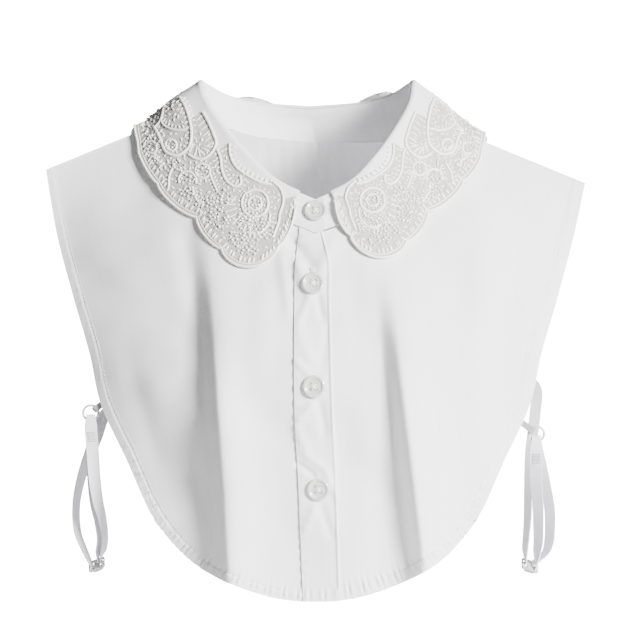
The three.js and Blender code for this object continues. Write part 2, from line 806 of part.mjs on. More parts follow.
function strap(fastening) {
  const { side, drop, falling, rising, bow, sliderTilt } = fastening;
  const { ring, anchor, slider } = fasteningFrame(fastening);
  const station = (row, width = strapWidth) => ({
    place: new THREE.Vector3(
      ring.x + side * row.out * strapWidth,
      lerp(ring.y, anchor.y, row.back),
      ring.z - row.down * drop,
    ),
    across: acrossAt(row.turn),
    width,
  });
  const sewn = { place: anchor, across: acrossAt(0), width: strapWidth };
  const down = [sewn, ...falling.map((row) => station(row))];
  const halfTurn = sliderMiddleBar / 2 + sliderSlot / 2;
  const under = sliderThickness / 2 + clearance + webWall / 2;
  const tilt = new THREE.Quaternion().setFromAxisAngle(new THREE.Vector3(0, 1, 0), degToRad(side * sliderTilt));
  const turned = [];
  for (const { across, lift } of sliderTurn) {
    const step = new THREE.Vector3(across * halfTurn, 0, lift * under).applyQuaternion(tilt);
    turned.push({ place: slider.clone().add(step), across: acrossAt(90), width: strapWidth });
  }
  const ringWidth = ringStrapShare * strapWidth;
  const front = ring.clone().add(new THREE.Vector3(0, -wrapRadius, 0));
  const up = rising.map((row) => station(row));
  up.forEach((row) => {
    row.place.y -= wrapRadius;
  });
  const wrapped = [];
  for (let i = 0; i <= wrapSteps; i += 1) {
    const angle = (i * Math.PI) / wrapSteps;
    const step = new THREE.Vector3(0, -wrapRadius * Math.cos(angle), wrapRadius * Math.sin(angle));
    const place = ring.clone().add(step);
    place.z -= ringSeat;
    wrapped.push({ place, across: acrossAt(0), width: ringWidth });
  }
  front.z -= ringApproach;
  const below = { place: front, across: acrossAt(0), width: strapWidth };
  const belowBehind = { ...below, place: front.clone().setY(ring.y + wrapRadius) };
  const doubled = up.slice(1).reverse().map((row, i) => {
    const across = row.across.clone();
    const normal = new THREE.Vector3(-across.y, across.x, 0).normalize();
    const place = row.place.clone().addScaledVector(normal, 2 * wrapRadius);
    place.x += side * bow * Math.sin((Math.PI * (i + 1)) / (up.length + 1));
    return { ...row, place };
  });
  const path = [...down, ...turned, ...up, below, ...wrapped, belowBehind, ...doubled];
  return ribbonSolid(smoothStations(path, strapSteps));
}

function ringMesh(fastening) {
  const { ring } = fasteningFrame(fastening);
  const geometry = new THREE.TorusGeometry(ringRadius, ringWire, wireSegments, ringSegments);
  return { geometry: geometry.rotateX(Math.PI / 2), place: ring };
}

// The tab goes from under the front's edge to the ring's wire, round it and back under the edge
function tab(fastening) {
  const { side } = fastening;
  const { ring, tabX } = fasteningFrame(fastening);
  const angle = degToRad(tabAngle);
  const inward = new THREE.Vector3(-side * Math.cos(angle), 0, Math.sin(angle));
  const across = new THREE.Vector3(side * Math.sin(angle), 0, Math.cos(angle));
  const length = Math.abs(ring.x - tabX) + tabUnderlap + ringRadius;
  const stations = [];
  const add = (along, back) => {
    const place = ring.clone().addScaledVector(inward, along);
    place.y += back;
    stations.push({ place, across, width: tabWidth });
  };
  const turnAt = ringRadius - wrapRadius - clearance;
  add(length, -wrapRadius);
  add((length + turnAt) / 2, -wrapRadius);
  for (let i = 0; i <= wrapSteps; i += 1) {
    const turn = (i * Math.PI) / wrapSteps;
    add(turnAt + wrapRadius * (1 - Math.sin(turn)), -wrapRadius * Math.cos(turn));
  }
  add((length + turnAt) / 2, wrapRadius);
  add(length, wrapRadius);
  return ribbonSolid(stations);
}

function sliderPiece(fastening) {
  const { side, sliderTilt } = fastening;
  const { slider } = fasteningFrame(fastening);
  const long = sliderMiddleBar + 2 * (sliderSlot + sliderBar);
  const slotWidth = strapWidth + 2 * clearance;
  const wide = slotWidth + 2 * sliderBar;
  let plate = toSolid(new THREE.BoxGeometry(long, wide, sliderThickness));
  for (const end of [-1, 1]) {
    const slot = new THREE.BoxGeometry(sliderSlot, slotWidth, 2 * sliderThickness);
    slot.translate((end * (sliderMiddleBar + sliderSlot)) / 2, 0, 0);
    plate = plate.subtract(toSolid(slot));
  }
  const geometry = fromSolid(plate);
  return { geometry, place: slider, tilt: degToRad(side * sliderTilt) };
}

// Materials
const cotton = new THREE.MeshStandardMaterial({ color: 0xf1f1f1, roughness: 0.85, side: THREE.DoubleSide });
const laceCotton = new THREE.MeshStandardMaterial({ color: 0xf3f1ea, roughness: 0.6 });
const elastic = new THREE.MeshStandardMaterial({ color: 0xe6e5e8, roughness: 0.7 });
const pearl = new THREE.MeshStandardMaterial({ color: 0xeceae6, roughness: 0.2 });
const plastic = new THREE.MeshStandardMaterial({ color: 0xe9e9ea, roughness: 0.3 });

const collar = new THREE.Group();

function addPiece(name, geometry, material) {
  const mesh = new THREE.Mesh(geometry, material);
  mesh.name = name;
  collar.add(mesh);
  return mesh;
}

function addButton(name, place, normal) {
  const mesh = addPiece(name, buttonGeometry(), pearl);
  mesh.position.copy(place);
  mesh.quaternion.setFromUnitVectors(new THREE.Vector3(0, 0, 1), normal);
}

addPiece('front_panel_left', frontPanel(-1), cotton);
addPiece('front_panel_right', frontPanel(1), cotton);
addPiece('placket', placket(), cotton);
addPiece('back_panel', backPanel(), cotton);
addPiece('collar_stand', collarStand(), cotton);
addPiece('collar_fall', collarFall(), cotton);
addPiece('lace_left', lace(-1), laceCotton);
addPiece('lace_right', lace(1), laceCotton);

// The collar button sits on the stand's upper end, square to it
const standTop = foldPoint(0);
const standFoot = neckSeam(0);
const standRise = standTop.clone().sub(standFoot).normalize();
const standNormal = new THREE.Vector3(0, -standRise.z, standRise.y);
const onStand = standFoot.clone().lerp(standTop, collarButtonShare);
addButton('button_collar', onStand.addScaledVector(standNormal, standWall / 2 + clearance), standNormal);

for (let i = 0; i < placketButtons; i += 1) {
  const z = standFoot.z - firstButtonDrop - i * buttonPitch;
  const down = downShare(z);
  const x = placketEdge(down) + placketSpan(down) / 2;
  const normal = frontNormal(x, z);
  const place = new THREE.Vector3(x, frontY(x, z) - placketLift, z);
  addButton(`button_${i + 1}`, place.addScaledVector(normal, clothWall / 2 + clearance), normal);
}

for (const fastening of fastenings) {
  const { name } = fastening;
  addPiece(`strap_${name}`, strap(fastening), elastic);
  addPiece(`tab_${name}`, tab(fastening), elastic);
  const ring = ringMesh(fastening);
  addPiece(`ring_${name}`, ring.geometry, plastic).position.copy(ring.place);
  const slider = sliderPiece(fastening);
  const mesh = addPiece(`slider_${name}`, slider.geometry, plastic);
  mesh.position.copy(slider.place);
  mesh.rotation.y = slider.tilt;
}

export default collar;
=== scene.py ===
"""Dresses the detachable collar: its cotton bib, stand and leaves, the beaded lace, the buttons and
the elastic straps, in the frame that its solids give.

Lengths are written in millimetres and turned to metres where a mesh is made. +Z is up, the buttoned
front faces -Y and the viewer's left is -X, as in the frame.
"""

from __future__ import annotations

import logging
import math
from dataclasses import dataclass, field, fields
from enum import Enum
from typing import Any, Sequence

import bpy
import numpy as np
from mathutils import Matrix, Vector
from mathutils.kdtree import KDTree

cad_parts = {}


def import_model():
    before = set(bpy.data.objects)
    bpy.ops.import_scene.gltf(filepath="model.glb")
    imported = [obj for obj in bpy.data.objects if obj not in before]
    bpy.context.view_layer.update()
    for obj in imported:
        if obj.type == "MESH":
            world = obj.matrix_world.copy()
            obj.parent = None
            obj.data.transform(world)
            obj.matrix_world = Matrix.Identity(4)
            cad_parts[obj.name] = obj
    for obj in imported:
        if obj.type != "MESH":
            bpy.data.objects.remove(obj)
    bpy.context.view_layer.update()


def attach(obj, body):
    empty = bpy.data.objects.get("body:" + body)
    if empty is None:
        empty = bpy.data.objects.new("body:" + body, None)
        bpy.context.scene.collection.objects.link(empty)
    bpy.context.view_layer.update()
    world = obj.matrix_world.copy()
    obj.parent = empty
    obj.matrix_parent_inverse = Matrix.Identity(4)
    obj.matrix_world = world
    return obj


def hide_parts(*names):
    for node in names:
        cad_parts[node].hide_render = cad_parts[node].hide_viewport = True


LOG = logging.getLogger("collar")
MM = 0.001


# Numbers and tables


def lerp(low: Any, high: Any, share: Any) -> Any:
    """Goes a share of the way from low to high."""
    return low + (high - low) * share


def smoothstep(value: Any, low: float, high: float) -> Any:
    """Rises smoothly from 0 at low to 1 at high."""
    share = np.clip((value - low) / (high - low), 0.0, 1.0)
    return share * share * (3.0 - 2.0 * share)


def unit(vectors: np.ndarray) -> np.ndarray:
    """Gives each vector, along the last axis, the length 1."""
    return vectors / np.maximum(np.linalg.norm(vectors, axis=-1, keepdims=True), 1e-12)


def joined(share: Any, span: Any, values: tuple[Any, Any], slopes: tuple[Any, Any]) -> Any:
    """Runs smoothly from one value to the next, with a given slope at each.

    Args:
        share: Share of the way between the two, from 0 to 1.
        span: How far apart the two are.
        values: The two values.
        slopes: The slope at each of the two.

    Returns:
        The value at that share of the way.
    """
    fall = (2.0 * share - 3.0) * share * share + 1.0
    start = ((share - 2.0) * share + 1.0) * share * span * slopes[0]
    end = (share - 1.0) * share * share * span * slopes[1]
    return fall * values[0] + (1.0 - fall) * values[1] + start + end


def side_name(side: int) -> str:
    """Names a side by where the viewer sees it: -1 is left and 1 is right."""
    return "left" if side < 0 else "right"


def linear(code: str) -> tuple[float, float, float, float]:
    """Turns an sRGB hex colour into linear light.

    Args:
        code: Six hex digits after a hash sign.

    Returns:
        Red, green, blue and an alpha of 1.
    """
    parts = [int(code[i : i + 2], 16) / 255.0 for i in (1, 3, 5)]
    bent = [part / 12.92 if part <= 0.04045 else ((part + 0.055) / 1.055) ** 2.4 for part in parts]
    return (bent[0], bent[1], bent[2], 1.0)


@dataclass(frozen=True)
class Table:
    """A short table of chosen values that is read smoothly between its rows.

    The first column is the place along the table.
    """

    columns: tuple[str, ...]
    rows: tuple[tuple[float, ...], ...]

    def column(self, name: str) -> np.ndarray:
        """Gives one column's values."""
        at = self.columns.index(name)
        return np.array([row[at] for row in self.rows])

    def read(self, name: str, value: Any) -> np.ndarray:
        """Reads a column between its rows.

        Args:
            name: The column's name.
            value: One place or an array of places along the table.

        Returns:
            The column's smooth value at each place.
        """
        along = self.column(self.columns[0])
        values = self.column(name)
        count = len(along)
        place = np.asarray(value, float)
        low = np.clip(np.searchsorted(along, place, side="left") - 1, 0, count - 2)
        before = np.maximum(np.arange(count) - 1, 0)
        after = np.minimum(np.arange(count) + 1, count - 1)
        slopes = (values[after] - values[before]) / (along[after] - along[before])
        span = along[low + 1] - along[low]
        t = np.clip((place - along[low]) / span, 0.0, 1.0)
        return joined(t, span, (values[low], values[low + 1]), (slopes[low], slopes[low + 1]))


class SmoothPath:
    """A smooth path through a few points, at its own even parameter."""

    def __init__(self, points: np.ndarray) -> None:
        """Keeps the points, with one more at each end."""
        points = np.asarray(points, float)
        first = 2.0 * points[0] - points[1]
        last = 2.0 * points[-1] - points[-2]
        self.points = np.vstack([first, points, last])
        self.spans = len(points) - 1

    def at(self, place: Any) -> np.ndarray:
        """Reads the path.

        Args:
            place: Places from 0 to the number of spans.

        Returns:
            One point for each place.
        """
        place = np.atleast_1d(np.asarray(place, float))
        low = np.clip(np.floor(place).astype(int), 0, self.spans - 1)
        t = (place - low)[:, None]
        a, b, c, d = (self.points[low + k] for k in range(4))
        gaps = [np.sqrt(np.linalg.norm(q - p, axis=1))[:, None] for p, q in ((a, b), (b, c), (c, d))]
        middle = np.maximum(gaps[1], 1e-4)
        before = np.where(gaps[0] < 1e-4, middle, gaps[0])
        after = np.where(gaps[2] < 1e-4, middle, gaps[2])
        start = ((b - a) / before - (c - a) / (before + middle) + (c - b) / middle) * middle
        end = ((c - b) / middle - (d - b) / (middle + after) + (d - c) / after) * middle
        return b + t * (start + t * (3.0 * (c - b) - 2.0 * start - end + t * (2.0 * (b - c) + start + end)))

    def even(self, pitch: float) -> np.ndarray:
        """Gives points at about an even pitch along the path."""
        fine = self.at(np.linspace(0.0, self.spans, self.spans * 24 + 1))
        run = run_along(fine)
        count = max(int(round(run[-1] / pitch)), 2)
        wanted = np.linspace(0.0, run[-1], count + 1)
        return np.stack([np.interp(wanted, run, fine[:, k]) for k in range(3)], axis=1)


def drift(x: np.ndarray, z: np.ndarray, length: float, seed: int) -> np.ndarray:
    """A slow, even unrest over a plane, as cloth has that was worn and pressed.

    Args:
        x: Places across, in mm.
        z: Heights, in mm.
        length: The usual length of its waves, in mm.
        seed: The same seed gives the same waves.

    Returns:
        Values from about -1 to 1.
    """
    draw = np.random.default_rng(seed)
    total = np.zeros_like(np.asarray(x, float))
    waves = 7
    for _ in range(waves):
        turn = draw.uniform(0.0, math.tau)
        wave = length * draw.uniform(0.7, 1.6)
        way = x * math.cos(turn) + z * math.sin(turn)
        total += np.sin(way * math.tau / wave + draw.uniform(0.0, math.tau))
    return total / math.sqrt(waves)


# Meshes


def grid_normals(grid: np.ndarray) -> np.ndarray:
    """Finds the outward direction at each point of a grid whose rows run down and columns to the right."""
    down = np.empty_like(grid)
    down[1:-1] = grid[2:] - grid[:-2]
    down[0] = grid[1] - grid[0]
    down[-1] = grid[-1] - grid[-2]
    across = np.empty_like(grid)
    across[:, 1:-1] = grid[:, 2:] - grid[:, :-2]
    across[:, 0] = grid[:, 1] - grid[:, 0]
    across[:, -1] = grid[:, -1] - grid[:, -2]
    return unit(np.cross(down, across))


def new_piece(
    name: str, points: np.ndarray, faces: np.ndarray, uv: np.ndarray, sharp: float = 55.0
) -> bpy.types.Object:
    """Makes a mesh piece from points in mm.

    Args:
        name: The piece's name.
        points: One row of x, y and z for each vertex, in mm.
        faces: Four corner indices for each face; a triangle repeats its last corner.
        uv: One row of u and v for each vertex, in metres along the cloth.
        sharp: Edges that turn by more than this many degrees are drawn sharp.

    Returns:
        The new object, at the origin.
    """
    a, b, c, d = (points[faces[:, k]] for k in range(4))
    volume = np.einsum("ij,ij->i", a, np.cross(b, c)).sum() + np.einsum("ij,ij->i", a, np.cross(c, d)).sum()
    if volume < 0.0:
        faces = faces[:, ::-1]
    corners = [tuple(dict.fromkeys(face)) for face in faces.tolist()]
    mesh = bpy.data.meshes.new(name)
    mesh.from_pydata((points * MM).tolist(), [], corners)
    mesh.polygons.foreach_set("use_smooth", [True] * len(mesh.polygons))
    mesh.set_sharp_from_angle(angle=math.radians(sharp))
    layer = mesh.uv_layers.new(name="cloth")
    used = np.empty(len(mesh.loops), int)
    mesh.loops.foreach_get("vertex_index", used)
    layer.data.foreach_set("uv", np.asarray(uv, float)[used].ravel())
    mesh.update()
    piece = bpy.data.objects.new(name, mesh)
    bpy.context.scene.collection.objects.link(piece)
    return piece


def run_along(points: np.ndarray) -> np.ndarray:
    """Measures the way along a line of points from its start."""
    return np.concatenate([[0.0], np.cumsum(np.linalg.norm(np.diff(points, axis=0), axis=1))])


def run_lengths(grid: np.ndarray, axis: int) -> np.ndarray:
    """Measures the way along a grid's rows or columns, in mm."""
    steps = np.linalg.norm(np.diff(grid, axis=axis), axis=2)
    pad = [(0, 0), (0, 0)]
    pad[axis] = (1, 0)
    return np.cumsum(np.pad(steps, pad), axis=axis)


def sheet_piece(
    name: str, grid: np.ndarray, out: Any, inward: Any, normals: np.ndarray | None = None
) -> bpy.types.Object:
    """Makes a closed sheet with a wall from a grid of points.

    Args:
        name: The piece's name.
        grid: Rows run down and columns to the right, seen from outside, in mm.
        out: The wall outside the grid, in mm, one value or one for each point.
        inward: The wall inside the grid, in mm, one value or one for each point.
        normals: Outward directions, where they are known.

    Returns:
        The new object.
    """
    rows, columns = grid.shape[:2]
    normals = grid_normals(grid) if normals is None else normals
    thick = np.broadcast_to(np.asarray(out, float), (rows, columns))[..., None]
    under = np.broadcast_to(np.asarray(inward, float), (rows, columns))[..., None]
    outer, inner = grid + normals * thick, grid - normals * under
    points = np.concatenate([outer.reshape(-1, 3), inner.reshape(-1, 3)])
    index = np.arange(rows * columns).reshape(rows, columns)
    front = np.stack([index[:-1, :-1], index[1:, :-1], index[1:, 1:], index[:-1, 1:]], axis=-1).reshape(-1, 4)
    edge = np.concatenate([index[0], index[1:, -1], index[-1, -2::-1], index[-2:0:-1, 0]])
    following = np.roll(edge, -1)
    rim = np.stack([edge, following, following + rows * columns, edge + rows * columns], axis=1)
    faces = np.concatenate([front, front[:, ::-1] + rows * columns, rim])
    way = np.stack([run_lengths(grid, 1), -run_lengths(grid, 0)], axis=-1).reshape(-1, 2) * MM
    return new_piece(name, points, faces, np.concatenate([way, way]))


@dataclass
class Bundle:
    """Points and faces of many small forms that make one piece."""

    points: list[np.ndarray] = field(default_factory=list)
    faces: list[np.ndarray] = field(default_factory=list)
    uv: list[np.ndarray] = field(default_factory=list)
    count: int = 0

    def add(self, points: np.ndarray, faces: np.ndarray, uv: np.ndarray) -> None:
        """Adds one form."""
        self.points.append(points)
        self.faces.append(faces + self.count)
        self.uv.append(uv)
        self.count += len(points)

    def sweep(self, path: np.ndarray, ups: np.ndarray, section: np.ndarray, closed: bool = False) -> None:
        """Adds a section swept along a path.

        Args:
            path: The points that it follows, in mm.
            ups: At each point the direction of the section's second axis.
            section: Corners of the section across and up, in mm, for the whole path or for each point.
            closed: Whether the path runs back into its start.
        """
        count, sides = len(path), section.shape[-2]
        if closed:
            along = unit(np.roll(path, -1, axis=0) - np.roll(path, 1, axis=0))
        else:
            along = unit(np.gradient(path, axis=0))
        across = unit(np.cross(along, ups))
        up = np.cross(across, along)
        shape = np.broadcast_to(section, (count, sides, 2))
        rings = path[:, None] + across[:, None] * shape[..., :1] + up[:, None] * shape[..., 1:]
        points = rings.reshape(-1, 3)
        index = np.arange(count * sides).reshape(count, sides)
        last = count if closed else count - 1
        here, ahead = index[np.arange(last)], index[(np.arange(last) + 1) % count]
        corners = [here, np.roll(here, -1, axis=1), np.roll(ahead, -1, axis=1), ahead]
        walls = np.stack(corners, axis=-1).reshape(-1, 4)
        run = run_along(path)
        girth = run_along(shape[0])
        uv = np.stack(np.meshgrid(run, girth, indexing="ij"), axis=-1).reshape(-1, 2) * MM
        if not closed:
            # Each end is closed by a low cone
            cap = 0.3 * section[..., 1].max()
            ends = np.stack([path[0] - along[0] * cap, path[-1] + along[-1] * cap])
            points = np.vstack([points, ends])
            uv = np.vstack([uv, uv[0], uv[-1]])
            first, final = np.full(sides, count * sides), np.full(sides, count * sides + 1)
            low, high = index[0], index[-1]
            start_caps = np.stack([np.roll(low, -1), low, first, first], axis=1)
            end_caps = np.stack([high, np.roll(high, -1), final, final], axis=1)
            walls = np.vstack([walls, start_caps, end_caps])
        self.add(points, walls, uv)

    def piece(self, name: str, sharp: float = 60.0) -> bpy.types.Object:
        """Makes the piece."""
        return new_piece(name, np.vstack(self.points), np.vstack(self.faces), np.vstack(self.uv), sharp)


def round_section(radius: float, sides: int = 8, flat: float = 1.0) -> np.ndarray:
    """Gives a round section, flattened upwards by a factor."""
    turn = np.arange(sides) * math.tau / sides
    return np.stack([radius * np.cos(turn), radius * flat * np.sin(turn)], axis=1)


def edged_section(width: float, wall: float, top: list[tuple[float, float]]) -> np.ndarray:
    """Gives a flat section with rounded edges from the points of its top face."""
    corner = wall / 2.0
    turns = np.radians([-60.0, 0.0, 60.0])
    right = [(width / 2.0 - corner + corner * math.cos(t), corner * math.sin(t)) for t in turns]
    return np.array(right + top + [(-x, -y) for x, y in right] + [(-x, -y) for x, y in top])


def band_section(width: float, wall: float) -> np.ndarray:
    """Gives a flat band's section."""
    spread = np.linspace(0.6, -0.6, 5) * width / 2.0
    return edged_section(width, wall, [(x, wall / 2.0) for x in spread])


def ribbed_section(width: float, wall: float, ribs: int = 5, groove: float = 0.16) -> np.ndarray:
    """Gives the section of woven elastic: a flat band with ribs along both faces."""
    corner = wall / 2.0
    spread = np.linspace(1.0, -1.0, 2 * ribs + 1)
    deep = [groove if i % 2 == 0 else 0.0 for i in range(len(spread))]
    top = [(x * (width / 2.0 - corner), corner - sunk) for x, sunk in zip(spread, deep)]
    return edged_section(width, wall, top)


def add_node(
    tree: bpy.types.NodeTree, kind: str, inputs: dict[Any, Any] | None = None, **settings: Any
) -> bpy.types.Node:
    """Adds a node with its settings, values and links.

    Args:
        tree: The tree that it goes into.
        kind: The node's type.
        inputs: For each input socket, by name or number, a value or the output socket linked to it.
        settings: The node's own settings.

    Returns:
        The node.
    """
    node = tree.nodes.new(kind)
    for key, value in settings.items():
        setattr(node, key, value)
    for key, value in (inputs or {}).items():
        if isinstance(value, bpy.types.NodeSocket):
            tree.links.new(value, node.inputs[key])
        else:
            node.inputs[key].default_value = value
    return node


# Small forms set on points


class Form(Enum):
    """The small forms that are repeated over the piece."""

    BEAD = "bead"
    BAR = "bar"
    FLAKE = "flake"


@dataclass
class Seats:
    """Places for a small form, each with the direction that it lies along and its upward direction."""

    places: list[np.ndarray] = field(default_factory=list)
    alongs: list[np.ndarray] = field(default_factory=list)
    ups: list[np.ndarray] = field(default_factory=list)
    sizes: list[float] = field(default_factory=list)

    def add(self, place: np.ndarray, along: np.ndarray, up: np.ndarray, size: float = 1.0) -> None:
        """Adds one place."""
        self.places.append(np.asarray(place, float))
        self.alongs.append(unit(np.asarray(along, float)))
        self.ups.append(unit(np.asarray(up, float)))
        self.sizes.append(size)


class Sprinkle:
    """A Geometry Nodes tree that sets one small form on each point of a mesh."""

    def __init__(self, form: Form, material: bpy.types.Material) -> None:
        """Builds the tree.

        Args:
            form: The form that is repeated.
            material: What it is made of.
        """
        tree = bpy.data.node_groups.new(f"set_{form.value}s_{material.name}", "GeometryNodeTree")
        face = tree.interface
        face.new_socket("Geometry", in_out="INPUT", socket_type="NodeSocketGeometry")
        self.keys = {}
        for name in ("Length", "Width", "Height", "Unevenness"):
            self.keys[name] = face.new_socket(name, in_out="INPUT", socket_type="NodeSocketFloat").identifier
        self.keys["Seed"] = face.new_socket("Seed", in_out="INPUT", socket_type="NodeSocketInt").identifier
        face.new_socket("Geometry", in_out="OUTPUT", socket_type="NodeSocketGeometry")
        given = add_node(tree, "NodeGroupInput")
        rings = 3 if form is Form.FLAKE else 6
        shape = add_node(tree, "GeometryNodeMeshUVSphere", {"Segments": 8, "Rings": rings, "Radius": 0.5})
        along = add_node(tree, "GeometryNodeInputNamedAttribute", {"Name": "along"}, data_type="FLOAT_VECTOR")
        up = add_node(tree, "GeometryNodeInputNamedAttribute", {"Name": "up"}, data_type="FLOAT_VECTOR")
        size = add_node(tree, "GeometryNodeInputNamedAttribute", {"Name": "size"}, data_type="FLOAT")
        lie = add_node(
            tree, "FunctionNodeAlignRotationToVector", {"Vector": along.outputs["Attribute"]}, axis="X"
        )
        stand = add_node(
            tree,
            "FunctionNodeAlignRotationToVector",
            {"Rotation": lie.outputs["Rotation"], "Vector": up.outputs["Attribute"]},
            axis="Z",
            pivot_axis="X",
        )
        lowest = add_node(
            tree, "ShaderNodeMath", {0: 1.0, 1: given.outputs["Unevenness"]}, operation="SUBTRACT"
        )
        highest = add_node(tree, "ShaderNodeMath", {0: 1.0, 1: given.outputs["Unevenness"]}, operation="ADD")
        draw = add_node(
            tree,
            "FunctionNodeRandomValue",
            {2: lowest.outputs[0], 3: highest.outputs[0], "Seed": given.outputs["Seed"]},
            data_type="FLOAT",
        )
        long = add_node(
            tree,
            "ShaderNodeMath",
            {0: given.outputs["Length"], 1: size.outputs["Attribute"]},
            operation="MULTIPLY",
        )
        sizes = add_node(
            tree,
            "ShaderNodeCombineXYZ",
            {"X": long.outputs[0], "Y": given.outputs["Width"], "Z": given.outputs["Height"]},
        )
        scaled = add_node(
            tree, "ShaderNodeVectorMath", {0: sizes.outputs[0], "Scale": draw.outputs[1]}, operation="SCALE"
        )
        placed = add_node(
            tree,
            "GeometryNodeInstanceOnPoints",
            {
                "Points": given.outputs["Geometry"],
                "Instance": shape.outputs["Mesh"],
                "Rotation": stand.outputs["Rotation"],
                "Scale": scaled.outputs[0],
            },
        )
        real = add_node(tree, "GeometryNodeRealizeInstances", {"Geometry": placed.outputs["Instances"]})
        smooth = add_node(tree, "GeometryNodeSetShadeSmooth", {"Geometry": real.outputs["Geometry"]})
        finished = add_node(
            tree, "GeometryNodeSetMaterial", {"Geometry": smooth.outputs["Geometry"], "Material": material}
        )
        add_node(tree, "NodeGroupOutput", {"Geometry": finished.outputs["Geometry"]})
        self.tree = tree
        self.material = material

    def piece(
        self,
        name: str,
        seats: Seats,
        length: float,
        width: float,
        height: float,
        unevenness: float = 0.0,
        seed: int = 1,
    ) -> bpy.types.Object:
        """Sets the form on each seat and bakes the result to a plain mesh.

        Args:
            name: The piece's name.
            seats: Where the forms go.
            length: Each form's size along its direction, in mm.
            width: Its size across, in mm.
            height: Its size upwards, in mm.
            unevenness: How much the sizes differ, as a share.
            seed: The seed of that difference.

        Returns:
            The new object.
        """
        mesh = bpy.data.meshes.new(name + "_seats")
        mesh.from_pydata((np.array(seats.places) * MM).tolist(), [], [])
        for key, values in (("along", seats.alongs), ("up", seats.ups)):
            layer = mesh.attributes.new(key, "FLOAT_VECTOR", "POINT")
            layer.data.foreach_set("vector", np.array(values, float).ravel())
        layer = mesh.attributes.new("size", "FLOAT", "POINT")
        layer.data.foreach_set("value", np.array(seats.sizes, float))
        base = bpy.data.objects.new(name + "_seats", mesh)
        bpy.context.scene.collection.objects.link(base)
        modifier = base.modifiers.new("set", "NODES")
        modifier.node_group = self.tree
        settings = {"Length": length * MM, "Width": width * MM, "Height": height * MM}
        settings["Unevenness"] = unevenness
        for key, value in settings.items():
            modifier[self.keys[key]] = value
        modifier[self.keys["Seed"]] = seed
        graph = bpy.context.evaluated_depsgraph_get()
        baked = bpy.data.meshes.new_from_object(base.evaluated_get(graph), depsgraph=graph)
        baked.name = name
        base.modifiers.remove(modifier)
        bpy.data.objects.remove(base)
        piece = bpy.data.objects.new(name, baked)
        bpy.context.scene.collection.objects.link(piece)
        return piece


# Finishes


def new_material(name: str) -> tuple[bpy.types.Material, bpy.types.NodeTree]:
    """Makes an empty node material and gives it with its tree."""
    material = bpy.data.materials.new(name)
    material.use_nodes = True
    material.node_tree.nodes.clear()
    return material, material.node_tree


@dataclass(frozen=True)
class WovenFinish:
    """Plain woven cloth: crossing threads with slubs, soft sheen and a matt face."""

    name: str
    colour: str
    shade: str
    thread_mm: float
    depth_mm: float
    roughness: float
    sheen: float
    streak_mm: float = 3.0

    def material(self) -> bpy.types.Material:
        """Builds the material on the piece's own cloth map, whose unit is a metre."""
        material, tree = new_material(self.name)
        way = add_node(tree, "ShaderNodeUVMap", uv_map="cloth")
        # The wave texture has a wave every 0.314 of its unit at a scale of 1
        scale = 0.314 / (self.thread_mm * MM)
        warp = add_node(
            tree,
            "ShaderNodeTexWave",
            {"Vector": way.outputs["UV"], "Scale": scale, "Distortion": 0.6, "Detail": 1.0},
            bands_direction="X",
        )
        weft = add_node(
            tree,
            "ShaderNodeTexWave",
            {"Vector": way.outputs["UV"], "Scale": scale, "Distortion": 0.6, "Detail": 1.0},
            bands_direction="Y",
        )
        weave = add_node(
            tree, "ShaderNodeMath", {0: warp.outputs["Fac"], 1: weft.outputs["Fac"]}, operation="MULTIPLY"
        )
        streak = self.streak_mm * MM
        stretched = add_node(
            tree,
            "ShaderNodeMapping",
            {"Vector": way.outputs["UV"], "Scale": (1.0 / streak, 0.05 / streak, 1.0)},
        )
        slubs = add_node(
            tree, "ShaderNodeTexNoise", {"Vector": stretched.outputs["Vector"], "Scale": 1.0, "Detail": 3.0}
        )
        colour = add_node(
            tree,
            "ShaderNodeMix",
            {0: slubs.outputs["Fac"], 6: linear(self.shade), 7: linear(self.colour)},
            data_type="RGBA",
        )
        raised = add_node(
            tree,
            "ShaderNodeBump",
            {"Height": weave.outputs[0], "Strength": 0.35, "Distance": self.depth_mm * MM},
        )
        shader = add_node(
            tree,
            "ShaderNodeBsdfPrincipled",
            {
                "Roughness": self.roughness,
                "Sheen Weight": self.sheen,
                "Sheen Roughness": 0.45,
                "Specular IOR Level": 0.25,
                "Normal": raised.outputs["Normal"],
            },
        )
        tree.links.new(colour.outputs[2], shader.inputs["Base Color"])
        add_node(tree, "ShaderNodeOutputMaterial", {"Surface": shader.outputs["BSDF"]})
        return material


